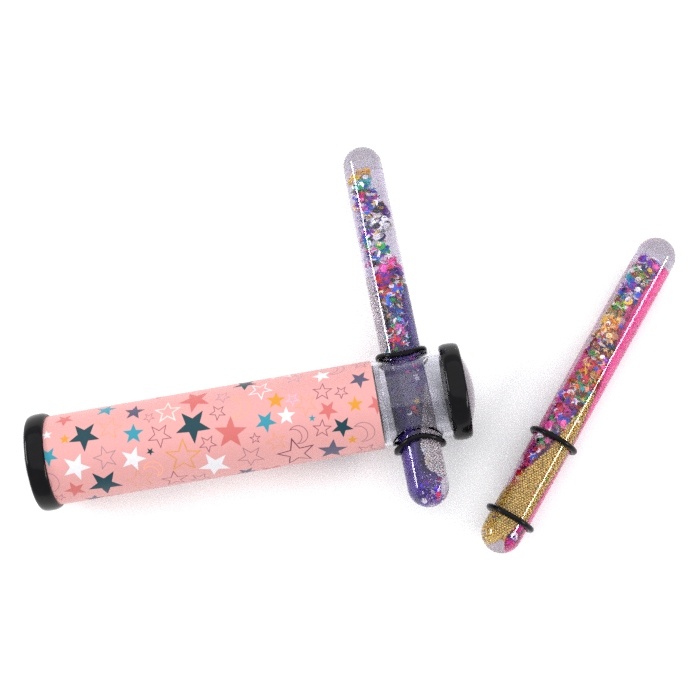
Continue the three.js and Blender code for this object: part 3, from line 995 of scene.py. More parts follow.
# ---------------------------------------------------------------------------------
# O-rings
# ---------------------------------------------------------------------------------
def ring_piece(name, place, y, body, node, seat=None, sign=1, squash=0.0, seed=1):
    major, minor = 9.2, 1.15
    nu, nv = 160, 28
    u = np.arange(nu) * TAU / nu
    w = np.arange(nv) * TAU / nv
    uu, ww = np.meshgrid(u, w, indexing="ij")
    r = random.Random(seed)
    ph = [r.uniform(0, TAU) for _ in range(4)]
    lump = 0.03 * np.sin(3 * uu + ph[0]) + 0.02 * np.sin(7 * uu + ph[1])
    m = minor + lump * 0.5
    rad = major + m * np.cos(ww)
    x, z = rad * np.cos(uu), rad * np.sin(uu)
    drop = 0.0
    if seat is not None:
        zc = major * np.sin(uu)
        drop = sign * (np.sqrt(seat**2 - zc**2) - seat)
    yy = y + m * np.sin(ww) + drop
    v = np.stack([x, yy, z], -1).reshape(-1, 3)
    ids = np.arange(nu * nv).reshape(nu, nv)
    a, b = ids, np.roll(ids, -1, 0)
    c, d = np.roll(b, -1, 1), np.roll(a, -1, 1)
    faces = np.stack([a, b, c, d], -1).reshape(-1, 4)
    me = bpy.data.meshes.new(name)
    me.from_pydata((place.pts(v) * 1e-3).tolist(), [], faces.tolist())
    me.update()
    me.polygons.foreach_set("use_smooth", np.ones(len(me.polygons), bool))
    return finish_piece(me, name, body, ring_black, [node])


ring_piece("held_ring_long", HELD, 18.5, "long_side_oring", "oring_long_side", 18.5, 1, seed=5)
ring_piece("held_ring_short", HELD, -19.7, "short_side_oring", "oring_short_side", 18.5, -1, seed=6)
ring_piece("spare_ring_high", SPARE, 49.7, "spare_high_oring", "spare_oring_high", seed=7)
ring_piece("spare_ring_low", SPARE, 14.6, "spare_low_oring", "spare_oring_low", seed=8)


# ---------------------------------------------------------------------------------
# Wand shells and plugs
# ---------------------------------------------------------------------------------
def profile_surface(surf, profile, seg, material_index=0, normals=None):
    """Turned surface about y with exact normals, from [(y, r, ny, nr)]."""
    a = np.arange(seg) * TAU / seg
    v, n = [], []
    for y, r, ny, nr in profile:
        v.append(np.stack([r * np.cos(a), np.full(seg, y), r * np.sin(a)], 1))
        n.append(np.stack([nr * np.cos(a), np.full(seg, ny), nr * np.sin(a)], 1))
    v, n = np.concatenate(v), np.concatenate(n)
    k = len(profile)
    i, j = np.meshgrid(np.arange(k - 1), np.arange(seg), indexing="ij")
    q = (j + 1) % seg
    A, B, C, D = (i * seg + j).ravel(), (i * seg + q).ravel(), ((i + 1) * seg + q).ravel(), ((i + 1) * seg + j).ravel()
    surf.add(v, np.concatenate([np.stack([A, B, C], 1), np.stack([A, C, D], 1)]), n, k=material_index)


def dome_profile(cy, r, a0, a1, n, sign=1):
    """Meridian points from a0 to a1 degrees, where 90 is the +y pole; normals point out for sign 1."""
    out = []
    for i in range(n + 1):
        a = math.radians(a0 + (a1 - a0) * i / n)
        rr = max(r * math.cos(a), 0.0)
        if abs(rr) < 1e-6:
            rr = 0.0
        out.append((cy + r * math.sin(a), rr, sign * math.sin(a), sign * math.cos(a)))
    return out


def build_wand(prefix, place, tip, length, body, slot_names):
    seg = 128
    top = tip + length
    low = tip + WAND_R
    dome_y = top - WAND_R
    end = dome_y - 0.3
    s = Surf()
    # outside: round tip and long wall
    ys = np.linspace(low, end, 60)
    outer = dome_profile(low, WAND_R, -90, 0, 24) + [(y, WAND_R, 0, 1) for y in ys[1:]]
    profile_surface(s, outer, seg, 0)
    # the end and the short bore round the plug are bonded, the rest of the bore meets the liquid
    profile_surface(s, [(end, WAND_R, 1, 0), (end, BORE_R, 1, 0)], seg, 2)
    plug_in = top - PLUG
    profile_surface(s, [(end, BORE_R, 0, -1), (plug_in, BORE_R, 0, -1)], seg, 2)
    inner = [(y, BORE_R, 0, -1) for y in np.linspace(plug_in, low, 50)] + dome_profile(low, BORE_R, 0, -90, 20, -1)[1:]
    profile_surface(s, inner, seg, 1)
    s.build(prefix + "_shell", place, body, [acrylic_wand, acrylic_liquid, glue_line], [prefix_node[prefix] + "_tube"], "acrylic_clear", colour=False)
    # plug: dome outside, bonded sides, a slightly dished inner face
    p = Surf()
    pr, e2 = BORE_R - 0.01, end + 0.004
    profile_surface(p, [(plug_in + 0.25, pr, 0, 1), (e2, pr, 0, 1)], seg, 2)
    profile_surface(p, [(e2, pr, -1, 0), (e2, WAND_R, -1, 0)], seg, 2)
    profile_surface(p, [(e2, WAND_R, 0, 1), (dome_y, WAND_R, 0, 1)] + dome_profile(dome_y, WAND_R, 0, 90, 24)[1:], seg, 0)
    profile_surface(p, [(plug_in + 0.25, pr, -0.7, 0.7), (plug_in, pr - 0.25, -0.7, 0.7)], seg, 1)
    face = []
    for i in range(13):
        q = (pr - 0.25) * (1 - i / 12)
        h = 0.9 * (1 - (q / (pr - 0.25)) ** 2)
        slope = 1.8 * q / (pr - 0.25) ** 2
        ln = math.hypot(1, slope)
        face.append((plug_in + h, q, -1 / ln, -slope / ln))
    profile_surface(p, face, seg, 1)
    p.build(prefix + "_plug_dome", place, body, [acrylic_plug, acrylic_liquid, glue_line], [prefix_node[prefix] + "_plug"], "acrylic_clear", colour=False)


prefix_node = {"held": "wand", "spare": "spare_wand"}
build_wand("held", HELD, -SHORT, LONG + SHORT, "wand", None)
build_wand("spare", SPARE, 0.0, SPARE_LEN, "spare_wand", None)

# ---------------------------------------------------------------------------------
# What is in the wands. x is across (picture right), y along, z towards the viewer.
# ---------------------------------------------------------------------------------
FILL_R = 6.55


def icosphere(level):
    t = (1 + 5**0.5) / 2
    v = [(-1, t, 0), (1, t, 0), (-1, -t, 0), (1, -t, 0), (0, -1, t), (0, 1, t), (0, -1, -t), (0, 1, -t), (t, 0, -1), (t, 0, 1), (-t, 0, -1), (-t, 0, 1)]
    f = [(0, 11, 5), (0, 5, 1), (0, 1, 7), (0, 7, 10), (0, 10, 11), (1, 5, 9), (5, 11, 4), (11, 10, 2), (10, 7, 6), (7, 1, 8), (3, 9, 4), (3, 4, 2), (3, 2, 6), (3, 6, 8), (3, 8, 9), (4, 9, 5), (2, 4, 11), (6, 2, 10), (8, 6, 7), (9, 8, 1)]
    v = [tuple(np.array(p) / np.linalg.norm(p)) for p in v]
    for _ in range(level):
        mid, nf = {}, []

        def m(a, b):
            key = (min(a, b), max(a, b))
            if key not in mid:
                p = (np.array(v[a]) + np.array(v[b])) / 2
                v.append(tuple(p / np.linalg.norm(p)))
                mid[key] = len(v) - 1
            return mid[key]

        for a, b, c in f:
            ab, bc, ca = m(a, b), m(b, c), m(c, a)
            nf += [(a, ab, ca), (b, bc, ab), (c, ca, bc), (ab, bc, ca)]
        f = nf
    return np.array(v), np.array(f)


ICO1 = icosphere(1)
ICO3 = icosphere(3)


def room(y, tip, top_y, margin=0.0):
    """Radius of the filling at y."""
    low = tip + WAND_R
    r = FILL_R - margin
    if y < low:
        q = r * r - (low - y) ** 2
        return math.sqrt(q) if q > 0 else 0.0
    return r if y < top_y else 0.0


def random_turn(r, spread=None, axis=(0, 0, 1)):
    """A random rotation matrix; with spread, the piece's normal stays within it of axis."""
    if spread is None:
        q = np.array([r.gauss(0, 1) for _ in range(4)])
        q /= np.linalg.norm(q)
        w, x, y, z = q
        return np.array([[1 - 2 * (y * y + z * z), 2 * (x * y - z * w), 2 * (x * z + y * w)], [2 * (x * y + z * w), 1 - 2 * (x * x + z * z), 2 * (y * z - x * w)], [2 * (x * z - y * w), 2 * (y * z + x * w), 1 - 2 * (x * x + y * y)]])
    ax = np.array(axis, float)
    ax /= np.linalg.norm(ax)
    t = math.radians(spread) * math.sqrt(r.random())
    p = r.uniform(0, TAU)
    helper = np.array([1.0, 0, 0]) if abs(ax[0]) < 0.8 else np.array([0, 1.0, 0])
    e1 = np.cross(ax, helper)
    e1 /= np.linalg.norm(e1)
    e2 = np.cross(ax, e1)
    n = ax * math.cos(t) + (e1 * math.cos(p) + e2 * math.sin(p)) * math.sin(t)
    s = r.uniform(0, TAU)
    u = np.cross(n, helper)
    u /= np.linalg.norm(u)
    w = np.cross(n, u)
    a = u * math.cos(s) + w * math.sin(s)
    b = np.cross(n, a)
    return np.stack([a, b, n], 0)  # rows: the piece's own x, y, z in the wand's frame


def outline_shape(kind, size):
    if kind == "star":
        return star(0, 0, size / 2 * 1.12, 90, 0.42)
    if kind == "moon":
        return crescent(size * 0.12, 0, size / 2, 0, n=9, fat=0.62)
    if kind == "dot":
        return [(size / 2 * math.cos(a), size / 2 * math.sin(a)) for a in np.arange(12) * TAU / 12]
    if kind == "hex":
        return [(size / 2 * math.cos(a), size / 2 * math.sin(a)) for a in np.arange(6) * TAU / 6]
    return [(-size * 0.5, -size * 0.12), (size * 0.5, -size * 0.16), (size * 0.42, size * 0.14), (-size * 0.4, size * 0.12)]


def plate(outline, thick, bend=0.0):
    """A thin closed plate from an outline that is star-shaped about its first fan point."""
    p = np.array(outline)
    n = len(p)
    kind_moon = n == 18 + 1 or n == 9 + 1 + 8
    z = bend * (p**2).sum(1)
    top = np.column_stack([p, z + thick / 2])
    bot = np.column_stack([p, z - thick / 2])
    tri = []
    if kind_moon:
        k = 10  # outer rim points 0..9, hollow points 10..17
        path_o = list(range(0, k))
        path_i = [0] + list(range(n - 1, k - 1, -1)) + [k - 1]
        m = min(len(path_o), len(path_i))
        i = j = 0
        while i < len(path_o) - 1 or j < len(path_i) - 1:
            if i < len(path_o) - 1 and (j >= len(path_i) - 1 or i / (len(path_o) - 1) <= j / (len(path_i) - 1)):
                tri.append((path_o[i], path_o[i + 1], path_i[j]))
                i += 1
            else:
                tri.append((path_o[i], path_i[j + 1], path_i[j]))
                j += 1
        tri = [t for t in tri if len(set(t)) == 3]
        v = np.concatenate([top, bot])
        t = tri + [(a + n, c + n, b + n) for a, b, c in tri]
    else:
        v = np.concatenate([top, bot, [[0, 0, thick / 2], [0, 0, -thick / 2]]])
        t = [(i, (i + 1) % n, 2 * n) for i in range(n)] + [(n + (i + 1) % n, n + i, 2 * n + 1) for i in range(n)]
    for i in range(n):
        j = (i + 1) % n
        t += [(i, n + i, n + j), (i, n + j, j)]
    return v, np.array(t)


SHAPES = {}


def foil(surf, kind, size, centre, turn, colour, thick=0.07, bend=0.0):
    key = (kind, round(size, 2), thick, round(bend, 3))
    if key not in SHAPES:
        SHAPES[key] = plate(outline_shape(kind, size), thick, bend)
    v, t = SHAPES[key]
    surf.add(v @ turn + np.asarray(centre), t, None, colour)


def foil_ink(r, g, b):
    c = lin(r, g, b)
    k = min(1.5, 0.92 / max(c))
    return tuple(k * q for q in c)


FOIL = {
    "red": foil_ink(214, 24, 44), "crimson": foil_ink(160, 14, 40), "magenta": foil_ink(206, 46, 150), "pink": foil_ink(240, 110, 170),
    "purple": foil_ink(106, 40, 150), "violet": foil_ink(78, 44, 168), "navy": foil_ink(24, 34, 92), "blue": foil_ink(22, 84, 190),
    "teal": foil_ink(16, 150, 160), "green": foil_ink(24, 140, 62), "lime": foil_ink(120, 190, 70), "gold": foil_ink(236, 196, 92),
    "tan": foil_ink(226, 190, 142), "bronze": foil_ink(150, 116, 66), "silver": foil_ink(232, 232, 238), "black": foil_ink(26, 24, 34),
    "orange": foil_ink(238, 120, 50), "white": foil_ink(250, 250, 252),
}


def magnify(z):
    """Apparent over true offset across, for a depth z in the filled wand."""
    n = 1.44
    d = WAND_R - z
    return n / (n - (n - 1) * d / WAND_R) if d < WAND_R * 3 else 3.0


def spot(y, u, z, tip, top_y, margin=0.6):
    """The point that is seen at y and at the apparent offset u, at depth z, kept inside."""
    x = u / magnify(z)
    r = room(y, tip, top_y, margin)
    q = math.hypot(x, z)
    if q > r:
        x, z = x * r / q, z * r / q
    return np.array([x, y, z])


def scatter_foil(surf, zones, tip, top_y, r, hints):
    """Zones: (y0, y1, u0, u1, z0, z1, count, palette, sizes, spread)."""
    for y0, y1, u0, u1, z0, z1, count, palette, sizes, spread in zones:
        for _ in range(int(count * 2.5)):
            y = r.uniform(y0, y1)
            u = r.uniform(u0, u1)
            z = r.uniform(z0, z1)
            kind = r.choices(["star", "moon", "dot", "hex", "chip"], [4, 2, 3, 2, 1])[0]
            size = r.choice(sizes) * (1.3 if r.random() < 0.7 else 0.8)
            c = spot(y, u, z, tip, top_y, size * 0.42)
            lean = (r.uniform(-0.6, 0.6), 0.6, r.uniform(1.0, 2.6))
            turn = random_turn(r, spread, lean)
            col = FOIL["white" if r.random() < 0.12 else r.choice(palette)]
            g = r.uniform(0.8, 1.3)
            foil(surf, kind, size, c, turn, tuple(min(1, q * g) for q in col), bend=r.choice([0, 0, 0.04]))
    for kind, size, y, u, z, col, face in hints:
        c = spot(y, u, z, tip, top_y, size * 0.42)
        lean = (r.uniform(-0.2, 0.2), face, 1.0)
        foil(surf, kind, size, c, random_turn(r, 14, lean), FOIL[col])


def bed(surf, place_fn, ys, radius_fn, seed, lump=0.25, k=0, colour=(1, 1, 1), n_arc=26, n_flat=12):
    """A settled bed: at each y the part of the bore beyond a line. place_fn(y) -> (angle of the line's normal, its distance)."""
    r = np.random.default_rng(seed)
    rings = []
    ph = r.uniform(0, TAU, 8)
    for y in ys:
        rad = radius_fn(y)
        ang, d = place_fn(y)
        d = max(min(d, rad * 0.96), -rad * 0.96)
        half = math.acos(d / rad) if rad > 1e-6 else 0.0
        n = np.array([math.cos(ang), math.sin(ang)])
        t = np.array([-n[1], n[0]])
        pts = []
        for i in range(n_arc + 1):
            a = -half + 2 * half * i / n_arc
            pts.append(rad * (n * math.cos(a) + t * math.sin(a)))
        w = math.sin(half) * rad
        for i in range(1, n_flat):
            q = w - 2 * w * i / n_flat
            e = 1 - (q / max(w, 1e-6)) ** 2
            bumpy = lump * e * (math.sin(y * 0.9 + q * 0.7 + ph[0]) + 0.7 * math.sin(y * 2.1 - q * 1.3 + ph[1]) + 0.5 * math.sin(y * 4.3 + q * 2.7 + ph[2]))
            pts.append(n * (d + bumpy) + t * q)
        rings.append(np.array([(p[0], y, p[1]) for p in pts]))
    m = len(rings[0])
    v = np.concatenate(rings)
    i, j = np.meshgrid(np.arange(len(rings) - 1), np.arange(m), indexing="ij")
    q = (j + 1) % m
    A, B, C, D = (i * m + j).ravel(), (i * m + q).ravel(), ((i + 1) * m + q).ravel(), ((i + 1) * m + j).ravel()
    t = [np.stack([A, B, C], 1), np.stack([A, C, D], 1)]
    caps_v = [rings[0].mean(0), rings[-1].mean(0)]
    base = len(v)
    v = np.concatenate([v, caps_v])
    jj = np.arange(m)
    t.append(np.stack([np.full(m, base), (jj + 1) % m, jj], 1))
    last = (len(rings) - 1) * m
    t.append(np.stack([np.full(m, base + 1), last + jj, last + (jj + 1) % m], 1))
    t = np.concatenate(t)
    # outward winding, by volume
    a, b, c = v[t[:, 0]], v[t[:, 1]], v[t[:, 2]]
    if (np.cross(a, b) * c).sum() < 0:
        t = t[:, ::-1]
        a, b, c = v[t[:, 0]], v[t[:, 1]], v[t[:, 2]]
    fn = np.cross(b - a, c - a)
    vn = np.zeros_like(v)
    for q in range(3):
        np.add.at(vn, t[:, q], fn)
    vn /= np.maximum(np.linalg.norm(vn, axis=1, keepdims=True), 1e-12)
    surf.add(v, t, vn, colour, k)


def beads(surf, points, diameter, r, tint=0.12):
    v0, f0 = ICO1
    n0 = v0
    v = np.empty((len(points), len(v0), 3))
    pts = np.asarray(points)
    s = diameter / 2 * r.uniform(0.93, 1.05, len(pts))
    v = pts[:, None] + v0[None] * s[:, None, None]
    f = (f0[None] + (np.arange(len(pts)) * len(v0))[:, None, None]).reshape(-1, 3)
    n = np.broadcast_to(n0[None], v.shape).reshape(-1, 3)
    c = 1 - tint * r.random(len(pts))
    col = np.repeat(np.stack([c, c, c], 1), len(v0), 0)
    surf.add(v.reshape(-1, 3), f, n, col)


def pack_beads(region, y0, y1, pitch, r, tip, top_y, layers=None, jitter=0.22):
    """Close-packed points in the bore where region(x, y, z) holds, jittered like a poured bed."""
    out = []
    dz = pitch * math.sqrt(2 / 3)
    dy = pitch * math.sqrt(3) / 2
    z = -FILL_R
    kz = 0
    while z < FILL_R:
        y = y0 + (kz % 2) * dy / 3
        ky = 0
        while y < y1:
            rad = room(y, tip, top_y, pitch * 0.5)
            x = -FILL_R + ((ky + kz) % 2) * pitch / 2
            while x < FILL_R:
                p = np.array([x, y, z]) + (r.random(3) - 0.5) * pitch * jitter
                if math.hypot(p[0], p[2]) < rad and region(p[0], p[1], p[2]):
                    out.append(p)
                x += pitch
            y += dy
            ky += 1
        z += dz
        kz += 1
    return out


def flakes(surf, count, sampler, size, palette, r, spread=None, axis=(0, 0, 1), thick=0.04):
    for _ in range(count):
        p = sampler(r)
        if p is None:
            continue
        turn = random_turn(r, spread, axis)
        s = size * r.choice([0.8, 1.0, 1.25])
        foil(surf, "hex", round(s, 2), p, turn, r.choice(palette), thick)


def bubble(surf, centre, radius, squash=(1, 1, 1)):
    v, f = ICO3
    q = v * radius * np.array(squash)
    n = v / np.array(squash)
    n /= np.linalg.norm(n, axis=1, keepdims=True)
    surf.add(q + np.array(centre), f, n)


def lerp(x, table):
    xs = [a for a, _ in table]
    ys = [b for _, b in table]
    return float(np.interp(x, xs, ys))


# ---- The held wand: violet ---------------------------------------------------------
def fill_held():
    tip, top = -SHORT, LONG - PLUG - 0.1
    r = random.Random(77)
    nr = np.random.default_rng(77)
    rad = lambda y: max(room(y, tip, 1e9, 0.05), 0.02)

    # packed violet glitter: right of centre near the tube, left of centre at the round tip
    def violet_line(y):
        ang = lerp(y, [(-44, math.radians(205)), (-20, math.radians(215)), (0, math.radians(262)), (20, math.radians(300)), (36, math.radians(330)), (46, math.radians(340))])
        d = lerp(y, [(-44, 1.6), (-40, 0.6), (-36, 1.0), (-31, 0.3), (-26, -1.0), (-20, -1.8), (0, -1.2), (20, -1.6), (30, -0.4), (38, 1.6), (46, 5.2)])
        return ang, d

    s = Surf()
    bed(s, violet_line, np.linspace(tip + 4.2, 46, 110), rad, 11, 0.28)
    s.build("held_violet_powder", HELD, "wand", powder_violet, ["wand_glitter"], "glitter_violet", colour=False, weld=False)

    # silver micro beads: left of centre on the long side, right of centre below the tube
    def silver(x, y, z):
        ang, d = lerp(y, [(-36, math.radians(20)), (-18, math.radians(18)), (-6, math.radians(-8)), (8, math.radians(-60)), (16, math.radians(-130)), (24, math.radians(-178)), (60, math.radians(-190))]), lerp(y, [(-33, 5.4), (-29, 2.6), (-20, 1.9), (-8, 2.6), (10, 3.0), (22, 3.0), (40, 4.1), (52, 5.6)])
        return x * math.cos(ang) + z * math.sin(ang) > d

    pts = pack_beads(silver, -33, 52, 0.86, nr, tip, top)
    pts = [p for p in pts if math.hypot(p[0], p[2]) > 2.0]
    s = Surf()
    beads(s, pts, 0.82, nr, 0.4)
    s.build("held_silver_beads", HELD, "wand", silver_mat, ["wand_beads"], "beads_silver", weld=False)

    # foil shapes
    mixed = ["red", "magenta", "purple", "blue", "teal", "green", "gold", "silver", "navy", "pink", "white", "white"]
    s = Surf()
    zones = [
        (92.6, 96.2, -5.5, 1.8, -2, 5, 26, ["gold", "tan", "gold", "bronze", "white", "tan"], [1.5, 2.0, 2.4], 55),
        (88.5, 93.0, -4.8, 1.5, -2, 5, 22, ["teal", "blue", "teal", "white", "silver", "green"], [1.6, 2.2, 2.6], 55),
        (84.5, 89.5, -5.6, 2.5, -3, 5, 30, ["blue", "purple", "white", "red", "green", "black", "violet"], [1.6, 2.2, 2.6], 50),
        (79.5, 85.5, -5.6, 3.4, -3, 5, 40, ["purple", "blue", "magenta", "black", "pink", "white", "violet", "gold"], [1.6, 2.2, 2.8], 50),
        (75.0, 81.0, 0.5, 5.6, -3, 5, 26, ["black", "navy", "purple", "black", "gold", "bronze", "navy"], [1.8, 2.4, 2.8], 50),
        (72.0, 79.5, -5.6, 2.0, -3, 5, 36, ["white", "silver", "navy", "gold", "blue", "pink", "white"], [1.8, 2.4, 2.8], 50),
        (70.0, 74.5, 0.5, 5.8, -2, 5, 20, ["silver", "white", "black", "silver", "bronze"], [1.8, 2.4], 50),
        (63.0, 71.0, -5.4, 1.8, -3, 5, 46, mixed, [1.6, 2.2, 2.8], 45),
        (56.0, 63.5, -5.0, 2.0, -3, 5, 34, ["purple", "white", "blue", "pink", "black", "teal", "green"], [1.6, 2.2, 2.8], 45),
        (52.0, 58.0, -0.8, 5.8, -3, 5, 34, ["magenta", "purple", "silver", "magenta", "white", "red", "pink"], [1.8, 2.6, 3.0], 45),
        (44.0, 52.5, -2.6, 5.6, -3, 5, 50, ["purple", "navy", "green", "red", "white", "violet", "crimson"], [1.8, 2.4, 2.8], 45),
        (37.0, 45.0, -3.6, 5.8, -3, 5, 52, ["violet", "navy", "blue", "gold", "red", "green", "white", "orange"], [1.8, 2.4, 2.8], 45),
        (29.0, 38.0, -2.6, 5.8, -1, 5.4, 54, ["navy", "blue", "violet", "teal", "tan", "bronze", "purple", "black"], [1.8, 2.4, 2.8], 45),
        (20.5, 30.0, -3.6, 5.6, 0.5, 5.6, 44, ["violet", "blue", "purple", "pink", "green", "red", "white", "silver"], [1.6, 2.2, 2.8], 45),
        (19.5, 27.0, -5.4, -1.0, 1.0, 5.4, 16, ["black", "gold", "silver", "red", "teal"], [1.4, 2.0, 2.4], 50),
        (8.0, 17.0, 3.4, 6.6, 0, 4.5, 12, ["magenta", "violet", "purple", "silver"], [1.0, 1.4], 60),
        (-16.0, 10.0, -6.0, 6.0, 0, 5.0, 22, ["magenta", "violet", "purple", "pink"], [0.8, 1.1, 1.4], 60),
        (-42.0, -34.0, -5.0, 5.0, -2, 4, 34, ["violet", "purple", "violet", "silver", "red"], [0.7, 1.0, 1.4], 70),
    ]
    hints = [
        ("star", 2.9, 88.6, -1.0, 4.6, "blue", 0.6), ("dot", 2.3, 84.9, -5.0, 3.0, "blue", 0.3), ("star", 2.8, 82.2, -1.9, 4.6, "purple", 0.4),
        ("star", 2.8, 74.6, -4.2, 4.0, "navy", 0.2), ("dot", 2.3, 68.2, -4.9, 4.2, "blue", 0.2), ("star", 3.1, 61.4, -3.2, 5.0, "white", 0.3),
        ("moon", 3.0, 62.6, 1.6, 5.0, "silver", 0.4), ("star", 3.4, 56.0, 3.4, 4.4, "magenta", 0.5), ("dot", 2.6, 53.0, 2.2, 4.6, "red", 0.7),
        ("star", 2.7, 46.6, 4.2, 4.4, "white", 0.5), ("dot", 2.4, 45.2, 4.6, 4.2, "red", 0.6), ("dot", 2.6, 50.4, 1.8, 4.6, "purple", 0.7),
        ("star", 2.8, 37.2, 3.6, 4.6, "white", 0.4), ("star", 2.6, 40.2, -2.0, 4.8, "orange", 0.5), ("dot", 2.4, 39.6, 0.8, 4.8, "green", 0.5),
        ("star", 3.0, 28.0, 1.6, 5.0, "blue", 0.3), ("moon", 3.0, 25.6, 1.2, 5.2, "pink", 0.2), ("star", 2.8, 21.0, 2.6, 4.8, "white", 0.3),
        ("chip", 3.4, 20.6, -2.6, 5.0, "red", 0.1), ("dot", 2.0, 19.6, -2.0, 4.8, "green", 0.4),
        ("star", 2.7, -2.6, 2.2, 4.8, "gold", 0.1), ("star", 2.4, -6.6, 1.0, 4.9, "crimson", 0.1), ("star", 2.3, 6.4, 4.2, 4.0, "silver", 0.2),
        ("star", 2.4, -22.0, 1.0, 5.4, "teal", 0.1), ("star", 3.0, -26.0, 2.0, 5.0, "gold", 0.1), ("star", 2.4, -29.6, 4.2, 4.0, "teal", 0.1),
        ("star", 1.6, -34.0, 4.6, 2.6, "crimson", 0.2), ("dot", 1.6, -5.0, 0.4, 5.0, "red", 0.2),
    ]
    scatter_foil(s, zones, tip, top, r, hints)
    s.build("held_foil_shapes", HELD, "wand", foil_a, ["wand_foil_shapes"], "foil_violet", weld=False)

    # fine glitter: pale lilac down the left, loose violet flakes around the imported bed
    lil = [lin(196, 176, 226), lin(226, 216, 244), lin(168, 140, 214), lin(240, 236, 250)]
    vio = [lin(86, 52, 176), lin(120, 84, 206), lin(60, 30, 130), lin(176, 150, 235), lin(150, 60, 170)]
    s = Surf()

    def left_strip(q):
        y = q.uniform(22, 84)
        u = q.uniform(-7.4, -4.4) if y > 54 else q.uniform(-7.4, -3.2)
        z = q.uniform(-2, 4)
        return spot(y, u, z, tip, top, 0.2)

    flakes(s, 2300, left_strip, 0.34, lil, r)

    def over_violet(q):
        y = q.uniform(-42.5, 46)
        ang, d = violet_line(y)
        rr = rad(y) - 0.1
        t = q.uniform(-1, 1) * math.sqrt(max(rr * rr - d * d, 0)) * 0.96
        h = d - abs(q.gauss(0, 0.9))
        x, z = h * math.cos(ang) - t * math.sin(ang), h * math.sin(ang) + t * math.cos(ang)
        k = math.hypot(x, z)
        if k > rr:
            return None
        return np.array([x, y, z])

    flakes(s, 1500, over_violet, 0.34, vio, r)

    def on_wall(q):
        y = q.uniform(-42.5, 30)
        ang, d = violet_line(y)
        rr = rad(y) - 0.08
        half = math.acos(max(min(d / rr, 1), -1))
        a = ang + q.uniform(-half, half)
        return np.array([rr * math.cos(a), y, rr * math.sin(a)])

    flakes(s, 500, on_wall, 0.32, vio, r)

    def tip_cloud(q):
        y = q.uniform(tip + 1.6, -30)
        rr = room(y, tip, top, 0.2)
        a = q.uniform(0, TAU)
        k = rr * math.sqrt(q.random())
        return np.array([k * math.cos(a), y, k * math.sin(a)])

    flakes(s, 380, tip_cloud, 0.38, vio + lil + lil, r)
    s.build("held_fine_glitter", HELD, "wand", glit_violet, (), "glitter_violet", weld=False)

    # the liquid, tinted, with a few small bubbles
    s = Surf()
    prof = dome_profile(tip + WAND_R, BORE_R - 0.04, -90, 0, 20) + [(y, BORE_R - 0.04, 0, 1) for y in np.linspace(tip + WAND_R, top, 40)[1:]]
    profile_surface(s, prof, 96, 0)
    profile_surface(s, [(top, BORE_R - 0.04, 1, 0), (top, 0.0, 1, 0)], 96, 0)
    for y, u, z, q in ((90.6, 4.9, 3.6, 0.34), (66.8, 5.6, 2.4, 0.28), (16.0, -3.4, 5.6, 0.5), (17.0, -1.6, 5.8, 0.42), (15.4, 0.6, 5.9, 0.36)):
        bubble_s.append(("held", spot(y, u, z, tip, top, q + 0.15), q))
    s.build("held_liquid", HELD, "wand", liquid_violet, ["wand_liquid"], "liquid_violet", colour=False)


bubble_s = []


